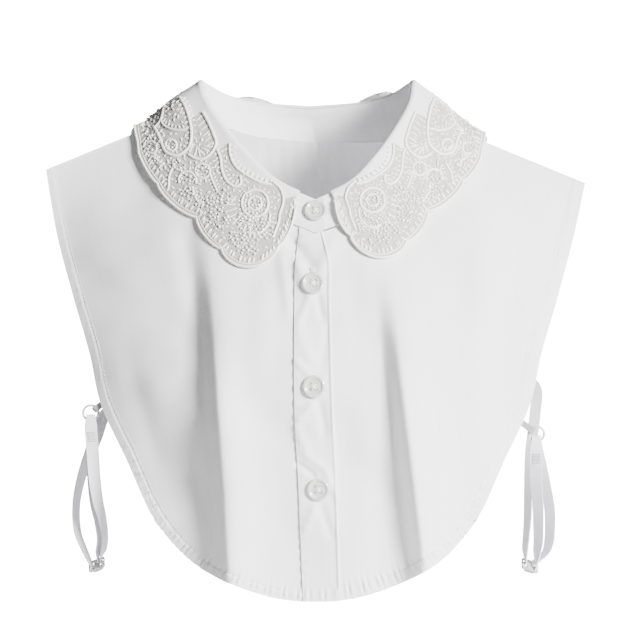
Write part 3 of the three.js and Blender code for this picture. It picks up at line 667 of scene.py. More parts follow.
@dataclass(frozen=True)
class NetFinish:
    """Fine net laid over cloth: light threads round small holes that are painted darker, as painted shade of
    the gaps in the lace.
    """

    name: str
    thread: str
    hole: str
    mesh_mm: float
    depth_mm: float

    def material(self) -> bpy.types.Material:
        """Builds the material on the piece's own cloth map, whose unit is a metre."""
        material, tree = new_material(self.name)
        way = add_node(tree, "ShaderNodeUVMap", uv_map="cloth")
        cells = add_node(
            tree,
            "ShaderNodeTexVoronoi",
            {"Vector": way.outputs["UV"], "Scale": 1.0 / (self.mesh_mm * MM), "Randomness": 0.45},
            feature="DISTANCE_TO_EDGE",
            voronoi_dimensions="2D",
        )
        thread = add_node(
            tree,
            "ShaderNodeMapRange",
            {"Value": cells.outputs["Distance"], "From Min": 0.07, "From Max": 0.24},
        )
        # A random cloud darkens the net in patches
        cloud = add_node(
            tree, "ShaderNodeTexNoise", {"Vector": way.outputs["UV"], "Scale": 260.0, "Detail": 3.0}
        )
        dark_patches = add_node(tree, "ShaderNodeMath", {0: cloud.outputs["Fac"], 1: 0.55}, operation="MULTIPLY")
        depth = add_node(
            tree,
            "ShaderNodeMath",
            {0: thread.outputs["Result"], 1: dark_patches.outputs[0]},
            operation="ADD",
            use_clamp=True,
        )
        # Painted shade: the further into a hole, the more the colour turns to the dark hole shade
        colour = add_node(
            tree,
            "ShaderNodeMix",
            {0: depth.outputs[0], 6: linear(self.thread), 7: linear(self.hole)},
            data_type="RGBA",
        )
        raised = add_node(
            tree,
            "ShaderNodeBump",
            {"Height": thread.outputs["Result"], "Strength": 0.6, "Distance": self.depth_mm * MM},
            invert=True,
        )
        shader = add_node(
            tree,
            "ShaderNodeBsdfPrincipled",
            {
                "Base Color": colour.outputs[2],
                "Roughness": 0.7,
                "Sheen Weight": 0.15,
                "Normal": raised.outputs["Normal"],
            },
        )
        add_node(tree, "ShaderNodeOutputMaterial", {"Surface": shader.outputs["BSDF"]})
        return material


@dataclass(frozen=True)
class SmoothFinish:
    """A thread, bead or moulded plastic: one colour with fine cloudiness and its own gloss."""

    name: str
    colour: str
    shade: str
    roughness: float
    cloud_mm: float
    bump_mm: float = 0.0
    sheen: float = 0.0
    coat: float = 0.0
    see_through: float = 0.0
    ior: float = 1.5
    metallic: float = 0.0

    def material(self) -> bpy.types.Material:
        """Builds the material on Object coordinates."""
        material, tree = new_material(self.name)
        place = add_node(tree, "ShaderNodeTexCoord")
        cloud = add_node(
            tree,
            "ShaderNodeTexNoise",
            {"Vector": place.outputs["Object"], "Scale": 1.0 / (self.cloud_mm * MM), "Detail": 2.0},
        )
        colour = add_node(
            tree,
            "ShaderNodeMix",
            {0: cloud.outputs["Fac"], 6: linear(self.shade), 7: linear(self.colour)},
            data_type="RGBA",
        )
        inputs = {
            "Base Color": colour.outputs[2],
            "Roughness": self.roughness,
            "Sheen Weight": self.sheen,
            "Coat Weight": self.coat,
            "Coat Roughness": 0.05,
            "Transmission Weight": self.see_through,
            "IOR": self.ior,
            "Metallic": self.metallic,
        }
        if self.bump_mm:
            raised = add_node(
                tree,
                "ShaderNodeBump",
                {"Height": cloud.outputs["Fac"], "Strength": 0.5, "Distance": self.bump_mm * MM},
            )
            inputs["Normal"] = raised.outputs["Normal"]
        shader = add_node(tree, "ShaderNodeBsdfPrincipled", inputs)
        add_node(tree, "ShaderNodeOutputMaterial", {"Surface": shader.outputs["BSDF"]})
        return material


@dataclass(frozen=True)
class Finishes:
    """Every finish of the collar."""

    # Cotton poplin, woven fine and pressed: a matt white face with faint upright slubs
    poplin: WovenFinish = WovenFinish("cotton_poplin", "#EDEDEF", "#E1E1E3", 0.7, 0.05, 0.82, 0.15)
    # Net under the lace, drawn as coarse as it shows: a little greyer than the cloth it lies on, partly its
    # own tone and partly painted shade, with its holes painted dark as painted shade
    net: NetFinish = NetFinish("lace_net", "#DEDCD6", "#9C988F", 1.25, 0.22)
    # Narrow woven elastic: ribs along its length and a dull, slightly blue white
    elastic: WovenFinish = WovenFinish("woven_elastic", "#EBEBF0", "#D6D6DC", 0.8, 0.12, 0.7, 0.2, 0.8)
    # Woven webbing of the tabs: flat and matt; greyer than the elastic, partly its own colour and partly
    # painted shade of the shadow the tabs lie in
    webbing: WovenFinish = WovenFinish("woven_webbing", "#A8A7AA", "#838184", 0.9, 0.15, 0.78, 0.1, 1.0)
    # Doubled grey thread of the bar tacks
    tack: SmoothFinish = SmoothFinish("tacking_thread", "#B5B3B9", "#98969D", 0.6, 0.4, sheen=0.2)
    # Satin-stitched cord of the lace: smooth threads that catch the light
    cord: SmoothFinish = SmoothFinish("satin_cord", "#FBFAF6", "#EFEDE6", 0.38, 0.5, bump_mm=0.08, sheen=0.3)
    # Sewing thread
    thread: SmoothFinish = SmoothFinish("sewing_thread", "#F6F6F6", "#E4E4E4", 0.6, 0.3, sheen=0.2)
    # Glass beads with a pearl coat
    bead: SmoothFinish = SmoothFinish(
        "pearl_bead", "#FFFFFB", "#EFECE2", 0.12, 0.8, coat=0.8, see_through=0.1
    )
    # Cup sequins of thin coated film
    sequin: SmoothFinish = SmoothFinish(
        "film_sequin", "#F6F8F4", "#E3E9E2", 0.1, 1.2, coat=1.0, see_through=0.2, metallic=0.25
    )
    # Cast pearly plastic of the buttons: cloudy, polished and a little see-through
    pearl: SmoothFinish = SmoothFinish(
        "cast_pearl_plastic", "#F4F3F1", "#D9D7D4", 0.14, 2.6, coat=0.6, see_through=0.35
    )
    # Moulded clear plastic of rings and sliders
    clear: SmoothFinish = SmoothFinish(
        "moulded_clear_plastic", "#ECEDEC", "#DADCDA", 0.18, 3.0, coat=0.3, see_through=0.45, ior=1.49
    )


@dataclass
class Palette:
    """The materials, made once."""

    poplin: bpy.types.Material
    net: bpy.types.Material
    elastic: bpy.types.Material
    webbing: bpy.types.Material
    tack: bpy.types.Material
    cord: bpy.types.Material
    thread: bpy.types.Material
    bead: bpy.types.Material
    sequin: bpy.types.Material
    pearl: bpy.types.Material
    clear: bpy.types.Material

    @classmethod
    def make(cls, finishes: Finishes) -> Palette:
        """Makes each finish's material."""
        return cls(**{item.name: getattr(finishes, item.name).material() for item in fields(finishes)})


def dress(piece: bpy.types.Object, material: bpy.types.Material, slot: str, *nodes: str) -> bpy.types.Object:
    """Gives a piece its material and its body, and lets it stand for CAD nodes.

    Args:
        piece: The finished piece.
        material: What it is made of.
        slot: Not used.
        nodes: The nodes that it replaces.

    Returns:
        The piece.
    """
    piece.data.materials.clear()
    piece.data.materials.append(material)
    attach(piece, "root")
    if nodes:
        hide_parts(*nodes)
    LOG.info("%s: %d faces", piece.name, len(piece.data.polygons))
    return piece


# The form that everything follows


@dataclass(frozen=True)
class BodyForm:
    """The shoulder line, and the front and back as depths before and behind it, in mm."""

    shoulder_half: float = 184.0
    bib_length: float = 330.0
    neck_half: float = 76.0
    neck_side_height: float = 13.0
    shoulder_angle: float = 21.0
    right_drop: float = 6.0
    chest_depth: float = 85.0
    back_depth: float = 58.0
    front_roll: float = 110.0
    back_roll: float = 70.0
    roll_power: float = 1.7
    side_flattening: float = 0.8
    # How far the worn cloth stands above the plain shoulder line, beside the leaves and at the tips
    left_plump: tuple[float, float] = (7.0, 5.2)
    right_plump: tuple[float, float] = (3.8, 2.0)
    plump_start: float = 79.0
    plump_full: float = 112.0
    ridge_start: float = 0.2
    ridge_full: float = 0.85
    front_profile: Table = Table(
        ("down", "depth"), ((0.0, 0.62), (0.15, 0.62), (0.35, 0.83), (0.53, 1.0), (0.8, 0.96), (1.0, 0.9))
    )
    back_profile: Table = Table(("down", "depth"), ((0.0, 1.0), (0.3, 1.0), (0.6, 0.88), (1.0, 0.8)))
    # Where each hanging ridge crosses the top and the foot, its rise and its spread, as shares
    ridges: tuple[tuple[float, float, float, float], ...] = (
        (-0.43, -0.325, 0.1, 0.085), (0.25, 0.4, 0.1, 0.085)
    )

    def down_share(self, z: Any) -> Any:
        """Gives the share of the way down the bib."""
        return (self.neck_side_height - z) / self.bib_length

    def height_at(self, down: Any) -> Any:
        """Gives the height at a share of the way down."""
        return self.neck_side_height - down * self.bib_length

    def drop_at(self, x: Any) -> Any:
        """Gives how far the right shoulder lies lower."""
        return self.right_drop * smoothstep(x, 0.0, self.neck_half)

    def plump(self, x: Any) -> Any:
        """Gives how far the worn cloth stands above the plain shoulder line."""
        out = np.abs(x)
        along = (out - self.plump_full) / (self.shoulder_half - self.plump_full)
        full = np.where(np.asarray(x) < 0.0, lerp(*self.left_plump, along), lerp(*self.right_plump, along))
        return full * smoothstep(out, self.plump_start, self.plump_full)

    def shoulder_height(self, x: Any) -> Any:
        """Gives the height of the shoulder line."""
        slope = math.tan(math.radians(self.shoulder_angle))
        return self.neck_side_height - slope * (np.abs(x) - self.neck_half) - self.drop_at(x) + self.plump(x)

    def roll_share(self, x: Any, z: Any, roll: float) -> Any:
        """Gives how far the cloth has rolled over the shoulder."""
        below = np.clip((self.shoulder_height(x) - z) / roll, 0.0, 1.0)
        return 1.0 - (1.0 - below) ** self.roll_power

    def side_share(self, x: Any) -> Any:
        """Gives how much of the depth is left towards the sides."""
        return 1.0 - self.side_flattening * (x / self.shoulder_half) ** 2

    def ridge_share(self, x: Any, z: Any) -> Any:
        """Gives the rise of the hanging ridges."""
        down = self.down_share(z)
        total = 0.0
        for top, foot, rise, spread in self.ridges:
            crest = lerp(top, foot, down) * self.shoulder_half
            total = total + rise * np.exp(-(((x - crest) / (spread * self.shoulder_half)) ** 2))
        return smoothstep(down, self.ridge_start, self.ridge_full) * total

    def front_y(self, x: Any, z: Any) -> Any:
        """Gives the front's depth."""
        profile = self.front_profile.read("depth", self.down_share(z))
        rolled = profile * self.side_share(x) * self.roll_share(x, z, self.front_roll)
        return -self.chest_depth * (rolled + self.ridge_share(x, z))

    def back_y(self, x: Any, z: Any) -> Any:
        """Gives the back's depth."""
        profile = self.back_profile.read("depth", self.down_share(z))
        return self.back_depth * profile * self.side_share(x) * self.roll_share(x, z, self.back_roll)

    def front_normal(self, x: float, z: float) -> np.ndarray:
        """Gives the direction that the front faces."""
        across = (self.front_y(x + 1.0, z) - self.front_y(x - 1.0, z)) / 2.0
        up = (self.front_y(x, z + 1.0) - self.front_y(x, z - 1.0)) / 2.0
        return unit(np.array([float(across), -1.0, float(up)]))


@dataclass(frozen=True)
class NeckLine:
    """The neck seam and the fold line of the collar, walked in degrees from the centre front."""

    form: BodyForm
    stand_height: float = 24.0
    stand_slant: float = 3.0
    collar_rise: float = 80.0
    front_depth: float = 48.0
    back_depth: float = 38.0
    lean: float = 5.6
    lap_step: float = 2.1
    lap_turn: float = 5.0
    lap_fade: float = 35.0
    fold: Table = Table(
        ("turn", "height"),
        (
            (0.0, 0.0), (20.0, 0.156), (37.0, 0.388), (55.0, 0.638), (73.0, 0.838), (90.0, 1.0),
            (110.0, 0.975), (130.0, 0.888), (150.0, 0.825), (180.0, 0.788),
        ),
    )

    @property
    def front_height(self) -> float:
        """The fold line's height at the centre front."""
        return self.form.neck_side_height + self.stand_height - self.collar_rise

    @staticmethod
    def turn(walk: Any) -> Any:
        """Gives the degrees from the centre front, whichever way round."""
        return np.abs(np.mod(np.asarray(walk, float) + 180.0, 360.0) - 180.0)

    def fold_height(self, walk: Any) -> Any:
        """Gives the fold line's height."""
        return self.front_height + self.collar_rise * self.fold.read("height", self.turn(walk))

    def lap_at(self, walk: Any) -> Any:
        """Gives how far the upper lap stands before the lower one."""
        walk = np.asarray(walk, float)
        return np.where(walk < 180.0, self.lap_step * (1.0 - smoothstep(walk, 0.0, self.lap_fade)), 0.0)

    def seam(self, walk: Any) -> np.ndarray:
        """Gives points of the seam between bib and stand."""
        walk = np.asarray(walk, float)
        x = -self.form.neck_half * np.sin(np.radians(walk))
        z = self.fold_height(walk) - self.stand_height - self.form.drop_at(x)
        y = np.where(self.turn(walk) < 90.0, self.form.front_y(x, z), self.form.back_y(x, z))
        return np.stack([x, y - self.lap_at(walk), z], axis=-1)

    def fold_point(self, walk: Any) -> np.ndarray:
        """Gives points of the fold line."""
        walk = np.asarray(walk, float)
        z = self.fold_height(walk)
        aside = self.lean * (z - self.front_height) / self.collar_rise
        x = -(self.form.neck_half - self.stand_slant) * np.sin(np.radians(walk)) - aside
        depth = np.where(self.turn(walk) < 90.0, self.front_depth, self.back_depth)
        return np.stack([x, -depth * np.cos(np.radians(walk)) - self.lap_at(walk), z], axis=-1)

    def fold_outward(self, walk: Any) -> np.ndarray:
        """Gives the level direction out of the neck, square to the fold line."""
        walk = np.asarray(walk, float)
        along = self.fold_point(walk + 1.5) - self.fold_point(walk - 1.5)
        return unit(np.stack([-along[..., 1], along[..., 0], np.zeros_like(along[..., 0])], axis=-1))

    def stand_at(self, x: Any, share: Any) -> np.ndarray:
        """Gives the stand's front at a place across, from its seam at 0 to its top at 1."""
        turn = np.degrees(np.arcsin(np.clip(np.asarray(x, float) / self.form.neck_half, -1.0, 1.0)))
        walk = np.where(np.asarray(x) < 0.0, -turn, 360.0 - turn)
        return lerp(self.seam(walk), self.fold_point(walk), share)


# The cotton bib


@dataclass(frozen=True)
class Drag:
    """A drag line: a shallow ridge or valley that runs straight over the cloth, in mm."""

    x: float
    z: float
    reach_x: float
    reach_z: float
    width: float
    rise: float

    def from_line(self, x: np.ndarray, z: np.ndarray) -> tuple[np.ndarray, np.ndarray]:
        """Gives the share of the way along its line and the distance off it."""
        length = math.hypot(self.reach_x, self.reach_z)
        along = ((x - self.x) * self.reach_x + (z - self.z) * self.reach_z) / length**2
        off = ((x - self.x) * self.reach_z - (z - self.z) * self.reach_x) / length
        return along, off

    def lift(self, x: np.ndarray, z: np.ndarray) -> np.ndarray:
        """Gives its rise at places on the cloth."""
        along, off = self.from_line(x, z)
        fade = np.exp(-((np.clip(np.abs(along - 0.5) - 0.3, 0.0, None) / 0.22) ** 2))
        return self.rise * fade * np.exp(-((off / self.width) ** 2))


@dataclass(frozen=True)
class StepFold(Drag):
    """A hanging fold: beyond its line the cloth steps outwards, and eases back over a wide band."""

    ease: float = 40.0

    def lift(self, x: np.ndarray, z: np.ndarray) -> np.ndarray:
        """Gives its rise at places on the cloth."""
        along, before = self.from_line(x, z)
        off = -before
        fade = smoothstep(along, -0.1, 0.45) * (1.0 - smoothstep(along, 1.0, 1.4))
        step = smoothstep(off, -self.width, self.width)
        return self.rise * fade * step * np.exp(-((np.clip(off - self.width, 0.0, None) / self.ease) ** 2))


@dataclass
class ClothRelief:
    """The fine unrest of the front: hanging folds, drag lines at the buttons and soft waves."""

    drags: tuple[Drag, ...]
    wave_length: float = 70.0
    wave_rise: float = 1.3
    crease_length: float = 34.0
    crease_rise: float = 0.24

    def lift(self, x: np.ndarray, z: np.ndarray) -> np.ndarray:
        """Gives how far the front stands out beyond its plain form, in mm."""
        total = self.wave_rise * drift(x, z, self.wave_length, 11)
        total = total + self.crease_rise * drift(x, z, self.crease_length, 12)
        for drag in self.drags:
            total = total + drag.lift(x, z)
        return total


@dataclass
class Bib:
    """The two fronts, the placket and the back, with hems and stitching."""

    form: BodyForm
    neck: NeckLine
    palette: Palette
    wall: float = 0.8
    cad_wall: float = 1.2
    clearance: float = 0.5
    seam_gap: float = 1.4
    back_seam_gap: float = 0.2
    ridge_gap: float = 0.6
    back_inset: float = 2.5
    hem_width: float = 5.6
    right_hem_width: float = 8.0
    hem_rise: float = 0.5
    # From here on, in mm along the edge from the shoulder tip, the hem is puckered more
    foot_from: float = 170.0
    pucker_pitches: tuple[float, float] = (4.7, 3.4)
    pucker_rise: float = 0.16
    foot_pucker: float = 0.2
    # Gathers below the back of the neck: pitch, how far they reach across and down, and their rise
    gather_pitch: float = 9.5
    gather_across: float = 52.0
    gather_down: float = 55.0
    gather_rise: float = 1.2
    # The back's slow waves: length, rise and seed
    back_waves: tuple[tuple[float, float, int], ...] = ((80.0, 1.1, 21), (18.0, 0.15, 22))
    # Folds and waves grow in between these drops below the shoulder line, in mm
    settling: tuple[float, float] = (4.0, 50.0)
    # Where the hems' stitches begin, in mm outwards from the centre front: left and right
    stitch_from: tuple[float, float] = (-12.0, 14.0)
    stitch_lift: float = 0.35
    stitch_pitch: float = 2.6
    placket_width: float = 25.5
    placket_gap: float = 0.5
    rolled_edge: float = 0.8
    closing_share: float = 0.167
    column_spread: float = 1.4
    row_spread: float = 1.15
    rows: int = 150
    foot_rows: int = 26
    foot_start: float = 0.955
    neck_columns: int = 66
    shoulder_columns: int = 118
    corner_row: int = 6
    outline: Table = Table(
        ("row", "half", "down"),
        (
            (0, 1.0, 0.133), (1, 0.957, 0.245), (2, 0.897, 0.369), (3, 0.832, 0.493), (4, 0.793, 0.591),
            (5, 0.696, 0.709), (6, 0.59, 0.833), (7, 0.438, 0.925), (8, 0.189, 0.987), (9, 0.0, 1.0),
        ),
    )
    placket_rows: Table = Table(
        ("down", "edge", "width"),
        (
            (0.24, -0.43, 0.62), (0.3, -0.53, 0.92), (0.37, -0.56, 0.97), (0.6, -0.56, 1.05),
            (0.75, -0.46, 1.04), (1.0, -0.33, 1.01),
        ),
    )

    def __post_init__(self) -> None:
        """Sets the front's relief."""
        self.relief = ClothRelief(
            drags=(
                Drag(-89.0, -62.0, 9.0, -60.0, 8.0, -2.2),
                StepFold(-77.5, -84.0, 13.0, -206.0, 6.6, 10.5, 30.0),
                Drag(-84.0, -85.0, 15.0, -205.0, 11.0, -2.4),
                StepFold(45.5, -100.0, 23.0, -192.0, 6.5, 12.5, 32.0),
                Drag(40.0, -120.0, 22.0, -176.0, 10.0, -1.6),
                Drag(-19.0, -68.0, 17.0, -24.0, 4.6, -2.17),
                Drag(-13.0, -86.0, 10.0, -22.0, 4.2, 2.17),
                Drag(12.0, -70.0, -9.0, -24.0, 4.0, 1.3),
                Drag(-24.0, -74.0, 6.0, -50.0, 4.0, 1.45),
                Drag(1.0, -107.0, 4.0, -20.0, 2.6, -1.3),
                Drag(-3.0, -107.0, -9.0, -22.0, 2.6, 1.16),
                Drag(-12.0, -130.0, 9.0, -26.0, 4.0, 1.01),
                Drag(9.0, -126.0, -5.0, -32.0, 3.2, -0.87),
                Drag(-15.0, -152.0, 12.0, -12.0, 2.6, 1.01),
                Drag(2.0, -180.0, 5.0, -24.0, 3.4, -1.3),
                Drag(-1.0, -182.0, -12.0, -14.0, 3.0, 1.16),
                Drag(-15.0, -196.0, 10.0, -20.0, 3.6, 1.16),
                Drag(10.0, -196.0, 2.0, -34.0, 3.0, 0.72),
                Drag(-13.0, -222.0, 13.0, -10.0, 2.2, -1.45),
                Drag(-9.0, -216.0, 16.0, -11.0, 2.4, 1.16),
                Drag(6.0, -226.0, 9.0, -22.0, 2.6, 1.01),
                Drag(3.0, -250.0, 8.0, -24.0, 3.2, -1.16),
                Drag(0.0, -250.0, -8.0, -22.0, 3.0, 1.01),
                Drag(-34.0, -98.0, -4.0, -70.0, 9.0, 1.3),
                Drag(24.0, -84.0, 8.0, -90.0, 9.0, -1.1),
                Drag(30.0, -180.0, 4.0, -110.0, 9.0, 0.9),
                Drag(-114.0, -110.0, 14.0, -140.0, 13.0, 0.7),
                Drag(-128.0, -150.0, 24.0, -80.0, 8.0, -1.0),
                Drag(115.0, -60.0, -6.0, -190.0, 13.0, 3.2),
                Drag(140.0, -70.0, -22.0, -130.0, 9.0, -1.1),
            )
        )

    def edge(self, side: int, inset: float) -> SmoothPath:
        """Gives the bib's edge over its whole width, from one shoulder tip to the other."""
        half = np.zeros((10, 3))
        half[:, 0] = side * np.maximum(self.outline.column("half") * self.form.shoulder_half - inset, 0.0)
        half[:, 2] = self.form.height_at(self.outline.column("down")) + inset
        half[0, 2] = self.form.shoulder_height(half[0, 0])
        mirrored = half[:-1][::-1] * np.array([-1.0, 1.0, 1.0])
        return SmoothPath(np.vstack([half, mirrored]))

    def row_at(self, edge: SmoothPath, x: float, side: int) -> float:
        """Gives the place on the edge, in rows of the outline, where it stands this far across."""
        low, high = float(self.corner_row), 9.9
        for _ in range(40):
            middle = (low + high) / 2.0
            if (edge.at(middle)[0, 0] - x) * side > 0.0:
                low = middle
            else:
                high = middle
        return low

    def placket_edge(self, down: Any) -> Any:
        """Gives the placket's edge at the viewer's left."""
        return self.placket_width * self.placket_rows.read("edge", down)

    def placket_span(self, down: Any) -> Any:
        """Gives the placket's width."""
        return self.placket_width * self.placket_rows.read("width", down)

    def half_grid(self, side: int, top: np.ndarray, middle_x: Any, inset: float) -> np.ndarray:
        """Spreads a half panel's grid between its four edges, in the plane of x and z.

        Args:
            side: -1 for the viewer's left and 1 for the right.
            top: The neck and shoulder edge, one point for each column.
            middle_x: Gives the middle edge's place across for a share of the way down.
            inset: How far the edge is drawn in.

        Returns:
            Points with y left at 0.
        """
        edge = self.edge(side, inset)
        columns = len(top)
        s = np.linspace(0.0, 1.0, columns)[None, :, None]
        plain = self.foot_start * np.linspace(0.0, 1.0, self.rows) ** self.row_spread
        t = np.concatenate([plain, np.linspace(self.foot_start, 1.0, self.foot_rows + 1)[1:]])[:, None, None]
        foot_row = self.row_at(edge, float(middle_x(1.0)), side)
        foot = edge.at(lerp(foot_row, float(self.corner_row), s[0, :, 0]))[None]
        armhole = edge.at(lerp(0.0, float(self.corner_row), t[:, 0, 0]))[:, None]
        high, low = top[0, 2], foot[0, 0, 2]
        z = lerp(high, low, t[:, 0, 0])
        middle = np.stack([middle_x(self.form.down_share(z)), np.zeros_like(z), z], axis=-1)[:, None]
        top = top[None]
        corners = (1 - s) * (1 - t) * top[:, :1] + s * (1 - t) * top[:, -1:]
        corners = corners + (1 - s) * t * foot[:, :1] + s * t * foot[:, -1:]
        return (1 - t) * top + t * foot + (1 - s) * middle + s * armhole - corners

    def top_edge(self, side: int, start_turn: float, seam_at: Any, inset: float, gap: float) -> np.ndarray:
        """Gives a half panel's edge along the neck seam, at a gap from it, and the shoulder."""
        share = (np.arange(self.neck_columns + 1) / self.neck_columns) ** self.column_spread
        seam = seam_at(lerp(start_turn, 90.0, share))
        neck = np.zeros((len(seam), 3))
        neck[:, 0] = seam[:, 0] * (1.0 + self.seam_gap / self.form.neck_half)
        neck[:, 2] = seam[:, 2] - gap
        reach = self.form.shoulder_half - inset
        share = np.arange(1, self.shoulder_columns + 1) / self.shoulder_columns
        x = side * lerp(self.form.neck_half + self.seam_gap, reach, share)
        shoulder = np.stack([x, np.zeros_like(x), self.form.shoulder_height(x)], axis=-1)
        return np.vstack([neck, shoulder])

    def hem(self, grid: np.ndarray, side: int, inset: float) -> tuple[np.ndarray, np.ndarray, float]:
        """Measures the way to the bib's edge and along it.

        Args:
            grid: The panel's points.
            side: Which side's edge.
            inset: How far the edge is drawn in.

        Returns:
            For each point the distance to the edge and the way along it, and the hem's width there.
        """
        path = self.edge(side, inset).even(1.0)
        tree = KDTree(len(path))
        for i, (x, _, z) in enumerate(path):
            tree.insert(Vector((x, 0.0, z)), i)
        tree.balance()
        flat = grid.reshape(-1, 3)
        found = [tree.find(Vector((x, 0.0, z))) for x, _, z in flat]
        off = np.array([item[2] for item in found]).reshape(grid.shape[:2])
        along = np.array([item[1] for item in found], float).reshape(grid.shape[:2])
        width = self.right_hem_width if side > 0 else self.hem_width
        return off, along, width

    def hem_lift(self, off: np.ndarray, along: np.ndarray, width: float) -> np.ndarray:
        """Gives the puckers that a stitched hem draws into the cloth beside it, in mm."""
        first, second = self.pucker_pitches
        pucker = np.sin(along * math.tau / first + 1.5 * np.sin(along / 23.0))
        pucker = pucker + 0.7 * np.sin(along * math.tau / second)
        near = np.exp(-(((off - 0.85 * width) / (0.65 * width)) ** 2))
        foot = smoothstep(along, self.foot_from, self.foot_from + 60.0)
        strength = self.pucker_rise + 0.07 * np.sin(along / 41.0) + self.foot_pucker * foot
        return strength * near * pucker

    def front(self, side: int) -> bpy.types.Object:
        """Makes one front with its hem."""
        form, neck = self.form, self.neck
        sewn = float(neck.seam(0.0)[2])

        def middle_x(down: Any) -> Any:
            """Gives the middle edge, where the two fronts meet under the placket."""
            closing = self.placket_edge(down) + self.closing_share * self.placket_width
            return closing + side * self.clearance / 2.0

        def seam_at(turn: np.ndarray) -> np.ndarray:
            """Gives the neck seam, carried on straight past the centre front."""
            walk = 360.0 - np.maximum(turn, 0.0) if side > 0 else turn
            seam = neck.seam(walk)
            seam[:, 0] = np.where(turn < 0.0, form.neck_half * np.sin(np.radians(turn)), seam[:, 0])
            return seam

        first = float(middle_x(form.down_share(sewn)))
        start_turn = math.degrees(side * math.asin(first / form.neck_half))
        top = self.top_edge(side, start_turn, seam_at, 0.0, self.seam_gap)
        grid = self.half_grid(side, top, middle_x, 0.0)
        off, along, width = self.hem(grid, side, 0.0)
        x, z = grid[..., 0], grid[..., 2]
        settled = smoothstep(form.shoulder_height(x) - z, 4.0, 50.0)
        lift = settled * self.relief.lift(x, z) + settled * self.hem_lift(off, along, width)
        grid[..., 1] = np.minimum(form.front_y(x, z), -self.ridge_gap / 2.0) - lift
        if side < 0:
            grid = grid[:, ::-1]
            off = off[:, ::-1]
        raised = self.hem_rise * (1.0 - smoothstep(off, width - 0.6, width + 0.4))
        name = side_name(side)
        piece = sheet_piece(f"front_{name}", grid, self.wall / 2.0 + raised, self.wall / 2.0 + raised / 2.0)
        dress(piece, self.palette.poplin, "cotton", f"front_panel_{name}")
        return piece

    def back(self) -> bpy.types.Object:
        """Makes the back in one piece with its hem."""
        form, neck = self.form, self.neck
        halves = []
        for side in (-1, 1):
            def seam_at(turn: np.ndarray, side: int = side) -> np.ndarray:
                """Gives the neck seam in degrees from the centre back."""
                return neck.seam(180.0 - turn if side < 0 else 180.0 + turn)

            top = self.top_edge(side, 0.0, seam_at, self.back_inset, self.back_seam_gap)
            halves.append(self.half_grid(side, top, lambda down: 0.0 * np.asarray(down), self.back_inset))
        grid = np.concatenate([halves[0][:, :0:-1], halves[1]], axis=1)
        grid = grid[::2, ::2]
        off, along, width = self.hem(grid, -1, self.back_inset)
        x, z = grid[..., 0], grid[..., 2]
        gathers = 0.55 * np.sin(x * math.tau / self.gather_pitch + 1.3 * np.sin(x / 14.0))
        below = np.clip(form.neck_side_height - z, 0.0, None)
        gathered = np.exp(-((x / self.gather_across) ** 4)) * np.exp(-below / self.gather_down)
        settled = smoothstep(form.shoulder_height(x) - z, *self.settling)
        long, short = (rise * drift(x, z, length, seed) for length, rise, seed in self.back_waves)
        lift = settled * (long + short) + gathers * gathered * self.gather_rise
        lift = lift + settled * self.hem_lift(off, along, width)
        grid[..., 1] = np.maximum(form.back_y(x, z), self.ridge_gap / 2.0) + lift
        raised = self.hem_rise * (1.0 - smoothstep(off, width - 0.6, width + 0.4))
        piece = sheet_piece("back", grid, self.wall / 2.0 + raised / 2.0, self.wall / 2.0 + raised)
        dress(piece, self.palette.poplin, "cotton", "back_panel")
        return piece

    def placket_point(self, down: np.ndarray, share: np.ndarray, lift: float = 0.0) -> np.ndarray:
        """Gives points on the placket's face.

        Args:
            down: Shares of the way down the bib.
            share: Shares across the placket from the viewer's left.
            lift: How far above its middle surface, in mm.

        Returns:
            Points in mm.
        """
        x = self.placket_edge(down) + share * self.placket_span(down)
        z = self.form.height_at(down)
        rise = self.cad_wall + self.clearance - 0.3
        rolled = self.rolled_edge * np.exp(-(((share - 0.95) / 0.035) ** 2))
        y = self.form.front_y(x, z) - rise - self.relief.lift(x, z) - lift - rolled
        pucker = np.sin(z * math.tau / 8.3 + 1.6 * np.sin(z / 11.0)) * (1.0 + 0.6 * np.sin(z / 17.0))
        edge_pucker = 0.24 * pucker * np.exp(-((share / 0.14) ** 2))
        return np.stack([x, y - edge_pucker, z], axis=-1)

    def placket(self) -> bpy.types.Object:
        """Makes the placket over both fronts."""
        edge = self.edge(1, 0.0)
        rows = 230
        share = np.concatenate([np.linspace(0.0, 0.85, 25)[:-1], np.linspace(0.85, 1.0, 15)])
        head = self.form.down_share(float(self.neck.seam(0.0)[2]))
        across = self.placket_edge(head) + share * self.placket_span(head)
        walk = np.mod(-np.degrees(np.arcsin(across / self.form.neck_half)), 360.0)
        start = self.form.down_share(self.neck.seam(walk)[:, 2] - self.placket_gap)
        foot = self.placket_edge(1.0) + share * self.placket_span(1.0)
        ends = [self.form.down_share(edge.at(self.row_at(edge, abs(x), 1))[0, 2]) for x in foot]
        t = (np.linspace(0.0, 1.0, rows + 1) ** self.row_spread)[:, None]
        down = lerp(start[None], np.array(ends)[None], t)
        grid = self.placket_point(down, np.broadcast_to(share[None], down.shape))
        from_foot = (np.array(ends)[None] - down) * self.form.bib_length
        grid[..., 1] -= self.hem_lift(from_foot, grid[..., 0] + 2.0 * self.foot_from, self.hem_width)
        turned = 0.25 * (1.0 - smoothstep(np.minimum(share, 1.0 - share), 0.02, 0.07))[None]
        piece = sheet_piece("placket_strip", grid, self.wall / 2.0 - turned * 0.6, self.wall / 2.0)
        dress(piece, self.palette.poplin, "cotton", "placket")
        return piece

